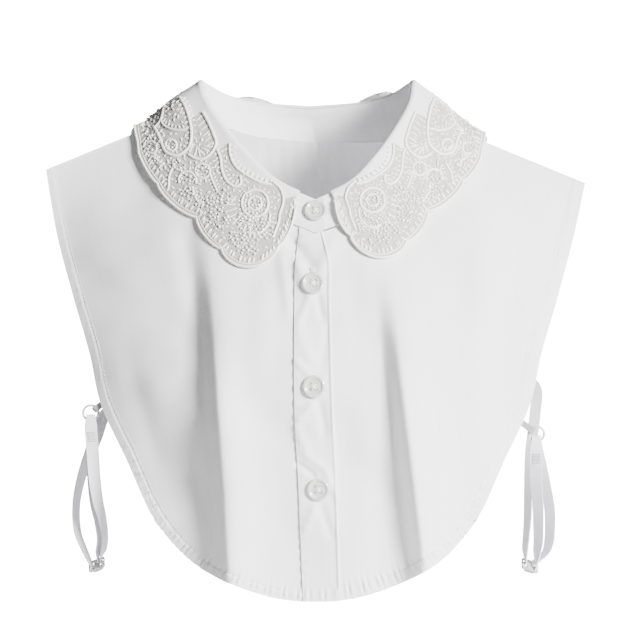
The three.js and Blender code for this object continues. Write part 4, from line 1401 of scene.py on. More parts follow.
    def stitches(self) -> list[bpy.types.Object]:
        """Makes the rows of stitches along the hems and the placket."""
        seats = Seats()
        for side in (-1, 1):
            width = self.right_hem_width if side > 0 else self.hem_width
            path = self.edge(side, width).even(self.stitch_pitch)
            path = path[path[:, 0] * side > self.stitch_from[0 if side < 0 else 1]]
            x, z = path[:, 0], path[:, 2]
            settled = smoothstep(self.form.shoulder_height(x) - z, *self.settling)
            y = self.form.front_y(x, z) - self.relief.lift(x, z) * settled
            path[:, 1] = y - self.wall / 2.0 - self.stitch_lift
            for before, here in zip(path[:-1], path[1:]):
                seats.add((before + here) / 2.0, here - before, self.form.front_normal(here[0], here[2]))
        placket_foot = self.form.down_share(-308.0)
        count = int((placket_foot - 0.245) * self.form.bib_length / self.stitch_pitch)
        down = np.linspace(0.25, placket_foot, count)
        for share in (0.1, 0.955):
            row = self.placket_point(down, np.full_like(down, share), self.wall / 2.0 + 0.05)
            for before, here in zip(row[:-1], row[1:]):
                seats.add((before + here) / 2.0, here - before, np.array([0.0, -1.0, 0.0]))
        thread = Sprinkle(Form.BAR, self.palette.thread)
        piece = thread.piece("hem_stitches", seats, 2.0, 0.42, 0.3, 0.1, 5)
        return [dress(piece, self.palette.thread, "cotton")]

    def build(self) -> None:
        """Makes the whole bib."""
        self.front(-1)
        self.front(1)
        self.back()
        self.placket()
        self.stitches()


# The stand and the leaves


@dataclass
class Collar:
    """The stand, and the leaves that turn over it and end in scallops."""

    form: BodyForm
    neck: NeckLine
    palette: Palette
    stand_wall: float = 1.6
    leaf_wall: float = 1.0
    bib_wall: float = 1.2
    clearance: float = 0.5
    roll_gap: float = 0.8
    stand_top_drop: float = 1.3
    stand_flare: float = 1.7
    seam_groove: float = 0.25
    # The fold rolls over from minus this many degrees to plus as many
    roll_angle: float = 65.0
    leaf_width: float = 60.0
    leaf_slip: float = 8.5
    ridge_zone: float = 14.0
    stand_reach: float = 0.85
    scallop_fullness: float = 0.6
    columns: int = 420
    stations: tuple[float, ...] = (0.0, 0.13, 0.26, 0.5, 0.74, 0.9, 1.0)
    # Over how many degrees of turn each station is evened out
    evening: tuple[float, ...] = (0.0, 3.0, 5.0, 6.0, 4.0, 2.0, 0.0)
    lie_step: float = 0.25
    # How far each leaf swells outwards at the neck's sides: half way down and at its edge
    left_swell: tuple[float, float] = (7.0, 2.5)
    right_swell: tuple[float, float] = (6.0, 5.5)
    swell_turn: float = 84.0
    swell_spread: float = 24.0
    # How far it rises above the roll behind the neck, and at which turn
    left_rise: tuple[float, float] = (14.5, 152.0)
    right_rise: tuple[float, float] = (16.0, 144.0)
    rise_spread: float = 17.0
    lies: dict[int, np.ndarray] = field(default_factory=dict)
    scallops: Table = Table(
        ("turn", "out", "back", "down", "bulge", "slip"),
        (
            (8.5, 0.035, 0.0, 0.117, 0.07, 0.4), (13.0, 0.135, 0.0, 0.608, 0.25, 0.85),
            (24.0, 0.555, 0.0, 0.8, 0.07, 0.6), (38.0, 0.552, 0.0, 0.712, 0.08, 0.5),
            (62.0, 0.633, 0.0, 0.78, 0.07, 0.2), (90.0, 0.7, 0.03, 0.697, 0.1, 0.0),
            (110.0, 0.69, 0.45, 0.633, 0.1, 0.0), (130.0, 0.467, 0.7, 0.767, 0.1, 0.0),
            (155.0, 0.25, 0.683, 0.867, 0.1, 0.0), (180.0, 0.0, 0.66, 0.9, 0.0, 0.0),
        ),
    )

    @property
    def roll_radius(self) -> float:
        """The radius of the leaf's roll over the stand's top."""
        return self.stand_wall / 2.0 + self.roll_gap + self.leaf_wall / 2.0

    @property
    def leaf_lift(self) -> float:
        """How far the leaf's middle lies off the bib's middle."""
        return (self.bib_wall + self.leaf_wall) / 2.0 + 2.0 * self.clearance

    def stand(self) -> bpy.types.Object:
        """Makes the stand, whose ends lap at the centre front."""
        walk = np.linspace(-self.neck.lap_turn, 360.0 + self.neck.lap_turn, 301)
        top = self.neck.fold_point(walk)
        top[:, 2] -= self.stand_top_drop
        foot = self.neck.seam(walk)
        share = np.linspace(0.0, 1.0, 15)[:, None, None]
        grid = lerp(top[None], foot[None], share)
        wall = self.stand_wall / 2.0
        # A shallow groove runs near the stand's top and near its foot
        upper = self.seam_groove * np.exp(-(((share[:, :, 0] - 0.1) / 0.03) ** 2))
        lower = self.seam_groove * np.exp(-(((share[:, :, 0] - 0.93) / 0.03) ** 2))
        thick = np.broadcast_to(wall - (upper + lower), grid.shape[:2])
        # Inside the neck the stand runs out to the roll of the leaves, with no step between them
        flare = self.stand_flare * (1.0 - smoothstep(share[:, :, 0], 0.0, 0.42))
        piece = sheet_piece("stand", grid[:, ::-1], thick, thick + flare)
        dress(piece, self.palette.poplin, "cotton", "collar_stand")
        return piece

    def roof_height(self, x: np.ndarray, y: np.ndarray) -> np.ndarray:
        """Gives the height of the bib's top near the shoulder ridge."""
        front = y < 0.0
        deep = np.where(front, self.form.chest_depth * 0.62, self.form.back_depth) * self.form.side_share(x)
        share = 1.0 - (1.0 - np.minimum(np.abs(y) / deep, 1.0)) ** (1.0 / self.form.roll_power)
        roll = np.where(front, self.form.front_roll, self.form.back_roll)
        return self.form.shoulder_height(x) - share * roll

    def clear_of_bib(self, points: np.ndarray, turn: np.ndarray) -> np.ndarray:
        """Keeps points of a leaf above the shoulder ridge, before the front and behind the back."""
        x, y, z = points[..., 0], points[..., 1], points[..., 2]
        front = turn < 90.0
        foot, top = self.neck.stand_at(x, 0.0), self.neck.stand_at(x, 1.0)
        share = np.clip((z - foot[..., 2]) / (top[..., 2] - foot[..., 2]), 0.0, 1.0)
        stand_y = lerp(foot[..., 1], top[..., 1], share)
        on_stand = front & (np.abs(x) < self.stand_reach * self.form.neck_half) & (z > foot[..., 2])
        below = z < self.form.shoulder_height(x) - self.ridge_zone
        on_front = np.minimum(y, self.form.front_y(x, z) - self.leaf_lift)
        on_back = np.maximum(y, self.form.back_y(x, z) + self.leaf_lift)
        roof = np.maximum(z, self.roof_height(x, y) + 2.0 * self.leaf_lift)
        over_bib = np.where(below, np.where(front, on_front, on_back), y)
        new_y = np.where(on_stand, np.minimum(y, stand_y - self.leaf_lift), over_bib)
        new_z = np.where(on_stand | below, z, roof)
        return np.stack([x, new_y, new_z], axis=-1)

    def edge(self, side: int, turn: np.ndarray) -> np.ndarray:
        """Gives the scalloped edge of one leaf for degrees from the centre front."""
        turns = self.scallops.column("turn")
        walk = turns if side < 0 else 360.0 - turns
        corner = self.neck.fold_point(walk)
        corner[:, 0] += side * self.scallops.column("out") * self.leaf_width
        corner[:, 1] += self.scallops.column("back") * self.leaf_width
        corner[:, 2] += side * self.leaf_slip * self.scallops.column("slip") / 2.0
        corner[:, 2] -= self.scallops.column("down") * self.leaf_width
        corner = self.clear_of_bib(corner, turns)
        span = np.clip(np.searchsorted(turns, turn, side="right") - 1, 0, len(turns) - 2)
        share = ((turn - turns[span]) / (turns[span + 1] - turns[span]))[:, None]
        edge = lerp(corner[span], corner[span + 1], share)
        chord = unit(corner[span + 1] - corner[span])
        ruling = edge - self.neck.fold_point(turn if side < 0 else 360.0 - turn)
        outward = unit(ruling - (ruling * chord).sum(axis=-1, keepdims=True) * chord)
        bulge = self.scallops.column("bulge")[span][:, None] * self.leaf_width
        edge = edge + outward * bulge * (1.0 - (2.0 * share - 1.0) ** 2) ** self.scallop_fullness
        return self.clear_of_bib(edge, turn)

    def leaf(self, side: int, turn: np.ndarray, share: np.ndarray) -> np.ndarray:
        """Gives points of a leaf.

        Args:
            side: -1 for the viewer's left leaf and 1 for the right.
            turn: Degrees from the centre front, one for each point.
            share: Shares of the way from the roll to the scalloped edge, one for each point.

        Returns:
            Points in mm.
        """
        turn = np.asarray(turn, float)
        share = np.asarray(share, float)
        if side not in self.lies:
            self.lies[side] = self.lie(side)
        marks = self.lies[side]
        at = (turn - self.scallops.rows[0][0]) / self.lie_step
        low_turn = np.clip(np.floor(at).astype(int), 0, marks.shape[1] - 2)
        part = (at - low_turn)[:, None]
        stations = np.array(self.stations)
        low = np.clip(np.searchsorted(stations, share, side="right") - 1, 0, len(stations) - 2)

        def read(row: np.ndarray) -> np.ndarray:
            """Reads a station's row between its turns."""
            row = np.clip(row, 0, len(stations) - 1)
            return lerp(marks[row, low_turn], marks[row, low_turn + 1], part)

        def slope(row: np.ndarray) -> np.ndarray:
            """Gives the leaf's slope down at a station."""
            above, below = np.maximum(row - 1, 0), np.minimum(row + 1, len(stations) - 1)
            return (read(below) - read(above)) / (stations[below] - stations[above])[:, None]

        span = (stations[low + 1] - stations[low])[:, None]
        t = (share - stations[low])[:, None] / span
        return joined(t, span, (read(low), read(low + 1)), (slope(low), slope(low + 1)))

    def lie(self, side: int) -> np.ndarray:
        """Works out how one leaf lies, on a fine grid of turns at each station.

        Between its roll and its scallops the leaf is one smooth sheet, so there the stations are
        evened out along the turn.
        """
        first, final = self.scallops.rows[0][0], self.scallops.rows[-1][0]
        turn = np.linspace(first, final, int(round((final - first) / self.lie_step)) + 1)
        last = self.rolled(side, turn, self.roll_angle)
        edge = self.edge(side, turn)
        smooth = self.evened(edge, 8.0)
        marks = []
        for station, spread in zip(self.stations, self.evening):
            target = lerp(smooth, edge, smoothstep(station, 0.4, 1.0))
            mark = self.clear_of_bib(lerp(last, target, station), turn) if station else last
            mark = self.evened(mark, spread) if spread else mark
            marks.append(mark + self.fullness(side, turn, station))
        return np.stack(marks)

    def fullness(self, side: int, turn: np.ndarray, station: float) -> np.ndarray:
        """Gives how the leaf swells at the neck's sides and rises behind it, at one station."""
        middle, end = self.left_swell if side < 0 else self.right_swell
        near = np.exp(-(((turn - self.swell_turn) / self.swell_spread) ** 2))
        begun, ended = float(smoothstep(station, 0.0, 0.3)), float(smoothstep(station, 0.45, 1.0))
        swell = near * begun * lerp(middle, end, ended)
        rise, crown = self.left_rise if side < 0 else self.right_rise
        behind = np.exp(-(((turn - crown) / self.rise_spread) ** 2))
        lifted = behind * rise * math.sin(math.pi * min(station / 0.45, 1.0))
        outward = self.neck.fold_outward(turn if side < 0 else 360.0 - turn)
        return outward * (swell + 0.5 * lifted)[:, None] + np.stack([0.0 * turn, 0.0 * turn, lifted], axis=1)

    def evened(self, points: np.ndarray, spread: float) -> np.ndarray:
        """Evens points out along the turn, over a spread in degrees."""
        reach = int(3.0 * spread / self.lie_step)
        weight = np.exp(-0.5 * (np.arange(-reach, reach + 1) * self.lie_step / spread) ** 2)
        before = 2.0 * points[0] - points[reach:0:-1]
        after = 2.0 * points[-1] - points[-2 : -reach - 2 : -1]
        padded = np.vstack([before, points, after])
        return np.stack([np.convolve(padded[:, k], weight / weight.sum(), "valid") for k in range(3)], axis=1)

    def rolled(self, side: int, turn: np.ndarray, angle: float) -> np.ndarray:
        """Gives points on the roll over the stand's top at an angle from its crown."""
        walk = turn if side < 0 else 360.0 - turn
        point = self.neck.fold_point(walk)
        point = point + self.roll_radius * math.sin(math.radians(angle)) * self.neck.fold_outward(walk)
        point[..., 2] -= self.roll_radius * (1.0 - math.cos(math.radians(angle)))
        return point

    def turns(self) -> np.ndarray:
        """Gives the turns of a half leaf's columns, closer together where scallops meet."""
        marks = self.scallops.column("turn")
        lengths = np.diff(marks)
        parts = []
        for mark, length in zip(marks, lengths):
            count = max(int(self.columns / 2 * (0.35 * length / 171.5 + 0.65 / len(lengths))), 6)
            share = (1.0 - np.cos(np.pi * np.arange(count) / count)) / 2.0
            parts.append(mark + share * length)
        return np.concatenate([*parts, [marks[-1]]])

    def leaf_grid(
        self, side: int, turn: np.ndarray, shares: Sequence[float], rolls: Sequence[float]
    ) -> np.ndarray:
        """Gives a leaf as a grid whose rows run from the roll to the edge."""
        rows = [self.rolled(side, turn, angle) for angle in rolls]
        rows += [self.leaf(side, turn, np.full_like(turn, share)) for share in shares]
        return np.stack(rows)

    def fall(self) -> bpy.types.Object:
        """Makes the leaves in one piece round the neck."""
        turn = self.turns()
        rolls = np.linspace(-self.roll_angle, self.roll_angle, 9)
        shares = np.linspace(0.0, 1.0, 29)[1:]
        left = self.leaf_grid(-1, turn, shares, rolls)
        right = self.leaf_grid(1, turn, shares, rolls)
        grid = np.concatenate([left, right[:, -2::-1]], axis=1)
        wall = self.leaf_wall / 2.0
        piece = sheet_piece("leaves", grid[:, ::-1], wall, wall)
        dress(piece, self.palette.poplin, "cotton", "collar_fall")
        return piece

    def build(self) -> None:
        """Makes the stand and the leaves."""
        self.stand()
        self.fall()


# The lace on the leaves


@dataclass(frozen=True)
class LaceCord:
    """One cord of the lace, with the bars that are sewn beside it.

    Its route is a few places across and up, in mm, as the viewer's right leaf shows it from the front.
    """

    route: tuple[tuple[float, float], ...]
    radius: float = 0.75
    bars_left: float = 0.0
    bars_right: float = 0.0
    bar_pitch: float = 3.9
    bar_start: float = 2.0


def ring_route(x: float, z: float, radius: float, start: float = 0.0, turn: float = 360.0) -> tuple:
    """Gives the route of a round cord, or of an arc of one, from its middle, radius and degrees."""
    steps = max(int(turn / 24.0), 4)
    angles = [math.radians(start + turn * i / steps) for i in range(steps + 1)]
    return tuple((x + radius * math.cos(a), z + radius * math.sin(a)) for a in angles)


@dataclass(frozen=True)
class LaceDrawing:
    """The lace's pattern: stems and loops with bars, a rosette, small flowers and heaps of beads."""

    cords: tuple[LaceCord, ...] = (
        # The stem beside the placket and the fern above it
        LaceCord(
            ((26.8, -31.9), (22.5, -36.2), (20.4, -42.5), (23.0, -51.4), (23.4, -54.8), (27.2, -64.9)), 0.75
        ),
        LaceCord(
            ((52.6, -5.7), (52.6, -13.3), (49.6, -20.9), (40.3, -28.6), (34.4, -31.9), (27.6, -33.6)),
            0.75, 0.0, 3.2,
        ),
        # The open loop, the large drop with its inner arc, and the small ring in the drop
        LaceCord(
            (
                (67.8, 15.4), (64.8, 8.7), (62.3, 1.0), (61.0, -4.9), (63.1, -9.9), (69.1, -15.0),
                (74.1, -15.0), (78.4, -12.5),
            ),
            0.85, 7.5, 0.0, 4.6, 1.6,
        ),
        LaceCord(
            (
                (80.9, 24.7), (78.4, 18.8), (76.7, 11.2), (75.8, 2.7), (77.5, -6.6), (82.6, -11.6),
                (86.8, -13.3), (92.7, -11.6), (95.3, -6.6), (96.1, -3.2), (99.5, 3.6),
            ),
            0.95, 3.0, 2.2, 4.2,
        ),
        LaceCord(((99.5, 3.6), (94.4, 8.7), (91.0, 17.1), (88.5, 21.3)), 0.8, 2.6, 0.0, 3.6),
        LaceCord(((78.4, 4.4), (83.0, 3.2), (87.7, 3.6), (92.7, 6.1), (94.4, 9.5)), 0.7, 2.6, 0.0, 3.4),
        LaceCord(ring_route(89.3, -6.6, 3.6), 0.75),
        # The hook with bars on both sides
        LaceCord(
            (
                (60.6, -9.1), (58.9, -15.0), (58.5, -21.8), (57.2, -26.9), (54.7, -31.1), (50.4, -33.6),
                (47.1, -31.9), (47.1, -26.9),
            ),
            0.8, 2.8, 2.8, 3.6,
        ),
        # The rosette, and arcs of smaller flowers
        LaceCord(ring_route(38.6, -44.6, 8.4), 0.8, 0.0, 2.2, 3.0, 1.6),
        LaceCord(ring_route(38.6, -44.6, 4.2), 0.65),
        LaceCord(ring_route(70.5, -23.0, 4.6), 0.65, 0.0, 2.4, 2.6, 1.4),
        LaceCord(ring_route(80.5, -29.0, 5.6, -20.0, 220.0), 0.7, 0.0, 2.6, 2.8, 1.5),
        LaceCord(ring_route(103.5, -9.0, 4.0, 60.0, 250.0), 0.65, 0.0, 2.2, 2.6, 1.4),
        LaceCord(((62.0, -36.5), (64.5, -30.0), (66.0, -25.0)), 0.65, 2.2, 2.2, 2.6),
        LaceCord(((72.0, -46.0), (76.5, -39.0), (77.5, -33.0)), 0.65, 2.0, 2.0, 2.6),
        LaceCord(((93.0, -33.5), (92.0, -26.0), (88.5, -19.5)), 0.7, 0.0, 2.6, 2.8),
        LaceCord(((98.5, -22.0), (99.0, -17.5), (103.5, -14.5)), 0.65, 2.0, 0.0, 2.4),
        LaceCord(((44.0, -62.5), (36.5, -63.0), (30.5, -57.5), (29.0, -51.0)), 0.7, 2.4, 0.0, 2.8),
    )
    # Straight bars that spread like a fan beside the rosette: first and last degree, count, from and to in mm
    fan: tuple[float, float, int, float, float] = (12.0, -78.0, 8, 11.5, 21.0)
    fan_middle: tuple[float, float] = (38.6, -44.6)
    # Heaps of beads: place across and up, and radius
    heaps: tuple[tuple[float, float, float], ...] = (
        (38.6, -44.6, 7.6), (41.0, -56.0, 9.0), (33.0, -60.5, 6.0), (44.0, -70.5, 7.5), (52.0, -66.0, 5.0),
        (61.5, -54.0, 6.5), (64.0, -45.0, 5.5), (57.5, -40.0, 5.0), (70.5, -23.0, 4.0), (80.5, -29.0, 5.2),
        (80.0, -38.5, 5.5), (73.0, -41.5, 4.5), (101.5, -1.5, 6.0), (105.0, -12.0, 6.5), (99.0, -20.0, 4.0),
        (89.3, -6.6, 2.6), (85.0, -20.0, 4.0), (51.0, -22.0, 3.0),
    )
    # Places in degrees of turn where flowers repeat on the sides and the back, where no photo shows them
    hidden_flowers: tuple[float, ...] = (97.0, 108.0, 120.0, 132.0, 145.0, 158.0, 171.0)


class LeafMap:
    """Finds the turn and share on a leaf for a place that is seen from the front."""

    def __init__(self, collar: Collar) -> None:
        """Measures the viewer's right leaf on a fine grid."""
        self.turn = np.linspace(8.6, 112.0, 420)
        self.share = np.linspace(0.0, 1.0, 81)
        rows = [collar.leaf(1, self.turn, np.full_like(self.turn, share)) for share in self.share]
        self.grid = np.stack(rows)
        self.tree = KDTree(self.grid.shape[0] * self.grid.shape[1])
        for i, (x, y, z) in enumerate(self.grid.reshape(-1, 3)):
            if y < 0.0:
                self.tree.insert(Vector((x, 0.0, z)), i)
        self.tree.balance()

    def find(self, places: np.ndarray) -> tuple[np.ndarray, np.ndarray, np.ndarray]:
        """Finds places on the leaf.

        Args:
            places: Rows of across and up, in mm.

        Returns:
            Each place's turn and share, and how far off the leaf it is, in mm.
        """
        columns = len(self.turn)
        turns, shares, offs = [], [], []
        for x, z in places:
            _, index, off = self.tree.find(Vector((float(x), 0.0, float(z))))
            row, column = divmod(index, columns)
            row = min(max(row, 1), len(self.share) - 2)
            column = min(max(column, 1), columns - 2)
            here = self.grid[row, column]
            along = (self.grid[row, column + 1] - self.grid[row, column - 1]) / 2.0
            down = (self.grid[row + 1, column] - self.grid[row - 1, column]) / 2.0
            matrix = np.array([[along[0], down[0]], [along[2], down[2]]])
            step = np.linalg.lstsq(matrix, np.array([x - here[0], z - here[2]]), rcond=1e-3)[0]
            step = np.clip(step, -1.5, 1.5)
            turns.append(np.interp(column + step[0], np.arange(columns), self.turn))
            shares.append(np.interp(row + step[1], np.arange(len(self.share)), self.share))
            offs.append(off)
        return np.array(turns), np.array(shares), np.array(offs)


@dataclass
class LeafLace:
    """The lace on both leaves: net, edge piping, cords, bars, beads and sequins."""

    collar: Collar
    palette: Palette
    drawing: LaceDrawing = LaceDrawing()
    inner_share: float = 0.3
    front_inner: float = 0.3
    hidden_inner: float = 0.1
    lowest_inner: float = 0.46
    net_wall: float = 0.35
    cord_swell: float = 0.12
    piping_radius: float = 0.85
    piping_step: float = 2.3
    edge_bar_length: float = 4.4
    edge_bar_pitch: float = 3.9
    edge_bar_reach: float = 5.6
    fill_pitch: float = 3.3
    fill_length: float = 3.0
    fill_tries: int = 2600
    # How far the filling bars stay from cords, bars and beads
    fill_clear: float = 2.1
    # Beads and sequins: how close the heaps are filled, and the share of sequins among them
    heap_density: float = 3.2
    sequin_share: float = 0.3
    # A repeated flower: its middle and its reach as shares of the leaf, its reach in degrees, its beads
    flower_middle: float = 0.6
    flower_depth: float = 0.13
    flower_turn: float = 3.6
    flower_beads: int = 22
    ray_length: float = 2.4
    bead_size: float = 1.85
    bead_gap: float = 1.75
    # Places that the cords and beads of each leaf take up
    taken: dict[int, list[np.ndarray]] = field(default_factory=lambda: {-1: [], 1: []})

    def on_leaf(self, side: int, turn: np.ndarray, share: np.ndarray, lift: Any) -> tuple[np.ndarray, ...]:
        """Gives places on a leaf's face.

        Args:
            side: -1 for the viewer's left leaf and 1 for the right.
            turn: Degrees from the centre front.
            share: Shares of the way to the edge.
            lift: How far above the leaf's middle surface, in mm.

        Returns:
            Points, outward directions, and the directions along the turn and down to the edge.
        """
        share = np.clip(share, 0.02, 0.995)
        turn = np.clip(turn, 9.0, 179.6)
        along = unit(self.collar.leaf(side, turn + 0.3, share) - self.collar.leaf(side, turn - 0.3, share))
        down = unit(self.collar.leaf(side, turn, share + 0.005) - self.collar.leaf(side, turn, share - 0.015))
        normal = -side * unit(np.cross(along, down))
        point = self.collar.leaf(side, turn, share) + normal * np.asarray(lift)[..., None]
        return point, normal, along, down

    def inner_line(self, leaf_map: LeafMap) -> tuple[np.ndarray, np.ndarray]:
        """Finds the net's inner line, which runs under the uppermost cords, as turns and shares."""
        turns, shares = [], []
        for cord in self.drawing.cords:
            places = np.array([(x, 0.0, z) for x, z in cord.route])
            turn, share, off = leaf_map.find(SmoothPath(places).even(0.8)[:, (0, 2)])
            turns.extend(turn[off < 0.8])
            shares.extend(share[off < 0.8])
        turns, shares = np.array(turns), np.array(shares)
        marks = np.arange(12.0, 95.0, 0.5)
        found = []
        for mark in marks:
            near = np.abs(turns - mark) < 1.0
            found.append(shares[near].min() if near.any() else np.nan)
        found = np.array(found)
        known = ~np.isnan(found)
        return marks[known], np.minimum(found[known], self.lowest_inner)

    def net(self, side: int, leaf_map: LeafMap) -> None:
        """Lays the net over a leaf, from its inner line to the piping."""
        turn = self.collar.turns()[:-1]
        marks, line = self.inner_line(leaf_map)
        unseen = self.hidden_inner + 0.03 * np.sin(turn * math.tau / 9.0)
        seen = np.where(turn < marks[0], self.front_inner, np.interp(turn, marks, line))
        inner = lerp(seen, unseen, smoothstep(turn, 93.0, 101.0))
        rows = []
        for step in np.linspace(0.0, 1.0, 26):
            rows.append(self.on_leaf(side, turn, lerp(inner, 0.985, step), 0.72)[0])
        grid = np.stack(rows)
        if side < 0:
            grid = grid[:, ::-1]
        name = side_name(side)
        piece = sheet_piece(f"net_{name}", grid, self.net_wall / 2.0, self.net_wall / 2.0)
        dress(piece, self.palette.net, "lace", f"lace_{name}")

    def add_bars(self, seats: Seats, side: int, cord: LaceCord, turn: np.ndarray, share: np.ndarray) -> None:
        """Adds the bars beside a cord."""
        point, normal, _, _ = self.on_leaf(side, turn, share, 0.9)
        run = run_along(point)
        count = int((run[-1] - cord.bar_start) / cord.bar_pitch)
        along = unit(np.gradient(point, axis=0))
        for k in range(count + 1):
            at = cord.bar_start + k * cord.bar_pitch
            place = np.array([np.interp(at, run, point[:, i]) for i in range(3)])
            up = unit(np.array([np.interp(at, run, normal[:, i]) for i in range(3)]))
            way = unit(np.array([np.interp(at, run, along[:, i]) for i in range(3)]))
            aside = side * np.cross(up, way)
            for length, sign in ((cord.bars_left, 1.0), (cord.bars_right, -1.0)):
                if length:
                    lean = unit(sign * aside + 0.25 * way)
                    middle = place + lean * (cord.radius + 0.45 + length / 2.0)
                    seats.add(middle, lean, up, length)

    def cords(self, side: int, leaf_map: LeafMap) -> None:
        """Makes the piping and the cords with their bars."""
        name = side_name(side)
        bundle, bars, edge_bars = Bundle(), Seats(), Seats()
        edge_turn = self.collar.turns()[:-1]
        foot, middle = (self.collar.leaf(side, edge_turn, np.full_like(edge_turn, s)) for s in (1.0, 0.5))
        depth = np.linalg.norm(foot - middle, axis=1)
        for step, radius in ((0.0, self.piping_radius), (self.piping_step, 0.45)):
            share = 0.992 - step * 0.5 / depth
            point, normal, _, _ = self.on_leaf(side, edge_turn, share, 0.75)
            bundle.sweep(point, normal, round_section(radius, 8))
        share = 1.0 - self.edge_bar_reach * 0.5 / depth
        point, normal, _, down = self.on_leaf(side, edge_turn, share, 0.95)
        run = run_along(point)
        for at in np.arange(3.0, run[-1], self.edge_bar_pitch):
            i = int(np.searchsorted(run, at))
            edge_bars.add(point[i], down[i], normal[i], self.edge_bar_length)
        for cord in self.drawing.cords:
            places = np.array([(x, 0.0, z) for x, z in cord.route])
            path = SmoothPath(places).even(0.8)[:, (0, 2)]
            turn, share, _ = leaf_map.find(path)
            kept = share < 0.96
            turn, share = turn[kept], share[kept]
            if len(turn) < 4:
                continue
            point, normal, _, _ = self.on_leaf(side, turn, share, 0.95)
            self.taken[side].extend(point)
            bundle.sweep(point, normal, round_section(cord.radius + self.cord_swell, 8))
            self.add_bars(bars, side, cord, turn, share)
        self.fan(side, leaf_map, bars)
        self.hidden_flowers(side, bundle, bars)
        self.fill(side, leaf_map, bars)
        piece = bundle.piece(f"lace_cords_{name}")
        dress(piece, self.palette.cord, "lace")
        form = Sprinkle(Form.BAR, self.palette.cord)
        piece = form.piece(f"lace_bars_{name}", bars, 1.0, 1.2, 1.1, 0.14, 3)
        dress(piece, self.palette.cord, "lace")
        piece = form.piece(f"edge_bars_{name}", edge_bars, 1.0, 1.75, 1.3, 0.16, 8)
        dress(piece, self.palette.cord, "lace")

    def fill(self, side: int, leaf_map: LeafMap, bars: Seats) -> None:
        """Fills the ground between the motifs with short bars that turn slowly about."""
        draw = np.random.default_rng(41)
        busy = [np.asarray(place) for place in bars.places]
        tree = KDTree(len(busy) + len(self.taken[side]))
        for i, place in enumerate([*busy, *self.taken[side]]):
            tree.insert(Vector(place), i)
        tree.balance()
        turn = draw.uniform(9.5, 179.0, self.fill_tries)
        inner = np.interp(turn, *self.inner_line(leaf_map)) + 0.06
        inner = np.where(turn > 96.0, self.hidden_inner + 0.07, inner)
        share = lerp(inner, 0.88, draw.uniform(0.0, 1.0, self.fill_tries))
        point, normal, along, down = self.on_leaf(side, turn, share, 0.9)
        fresh: list[np.ndarray] = []
        for i, place in enumerate(point):
            if tree.find(Vector(place))[2] < self.fill_clear:
                continue
            if any(np.linalg.norm(place - other) < self.fill_pitch for other in fresh):
                continue
            fresh.append(place)
            lean = 2.4 * math.sin(turn[i] / 5.0) + 3.0 * share[i]
            way = along[i] * math.cos(lean) + down[i] * math.sin(lean)
            bars.add(place, way, normal[i], self.fill_length)

    def fan(self, side: int, leaf_map: LeafMap, bars: Seats) -> None:
        """Adds the fan of straight bars beside the rosette."""
        first, last, count, start, end = self.drawing.fan
        x, z = self.drawing.fan_middle
        for degrees in np.linspace(first, last, count):
            turn = math.radians(degrees)
            ray = np.array([[math.cos(turn), math.sin(turn)]])
            places = np.array([x, z]) + ray * np.array([[start], [end]])
            turns, shares, _ = leaf_map.find(places)
            point, normal, _, _ = self.on_leaf(side, turns, shares, 0.85)
            bars.add(point.mean(axis=0), point[1] - point[0], normal.mean(axis=0), end - start)

    def hidden_flowers(self, side: int, bundle: Bundle, bars: Seats) -> None:
        """Repeats a looped flower round the sides and the back."""
        circle = np.linspace(0.0, math.tau, 25)
        for middle in self.drawing.hidden_flowers:
            turn = middle + self.flower_turn * np.cos(circle)
            share = self.flower_middle + self.flower_depth * np.sin(circle)
            point, normal, _, _ = self.on_leaf(side, turn, share, 0.8)
            bundle.sweep(point, normal, round_section(0.75, 8))
            self.taken[side].extend(point)
            middle_point = point.mean(axis=0)
            for i in range(0, 24, 2):
                ray = point[i] - middle_point
                length = self.ray_length
                bars.add(point[i] + unit(ray) * (length / 2.0 + 1.2), ray, normal[i], length)

    def sprinkle(self, side: int, leaf_map: LeafMap) -> None:
        """Sews on the beads and sequins."""
        name = side_name(side)
        draw = np.random.default_rng(31 if side < 0 else 32)
        places: list[tuple[float, float]] = []
        for x, z, radius in self.drawing.heaps:
            for _ in range(int(radius**2 * self.heap_density)):
                way, off = draw.uniform(0.0, math.tau), radius * math.sqrt(draw.uniform())
                new = (x + off * math.cos(way), z + off * math.sin(way))
                if all(math.dist(new, old) > self.bead_gap for old in places):
                    places.append(new)
        turn, share, off = leaf_map.find(np.array(places))
        kept = (off < 0.6) & (share < 0.9) & (share > self.inner_share + 0.03)
        turn, share = turn[kept], share[kept]
        hidden_turn, hidden_share = [], []
        for middle in self.drawing.hidden_flowers:
            for _ in range(self.flower_beads):
                hidden_turn.append(middle + draw.uniform(-5.5, 5.5))
                hidden_share.append(draw.uniform(0.45, 0.84))
        turn = np.concatenate([turn, hidden_turn])
        share = np.concatenate([share, hidden_share])
        point, normal, along, _ = self.on_leaf(side, turn, share, 1.25)
        self.taken[side].extend(point)
        beads, sequins = Seats(), Seats()
        for i, place in enumerate(point):
            if draw.uniform() < self.sequin_share:
                tilt = unit(normal[i] + 0.35 * draw.uniform(-1.0, 1.0, 3))
                sequins.add(place - 0.2 * normal[i], along[i], tilt)
            else:
                beads.add(place, along[i], normal[i])
        piece = Sprinkle(Form.BEAD, self.palette.bead).piece(
            f"beads_{name}", beads, self.bead_size, self.bead_size, self.bead_size * 0.9, 0.32, 7
        )
        dress(piece, self.palette.bead, "lace")
        piece = Sprinkle(Form.FLAKE, self.palette.sequin).piece(
            f"sequins_{name}", sequins, 2.5, 2.5, 0.5, 0.15, 9
        )
        dress(piece, self.palette.sequin, "lace")

    def build(self) -> None:
        """Makes the lace of both leaves."""
        leaf_map = LeafMap(self.collar)
        for side in (-1, 1):
            self.net(side, leaf_map)
            self.sprinkle(side, leaf_map)
            self.cords(side, leaf_map)


# The buttons


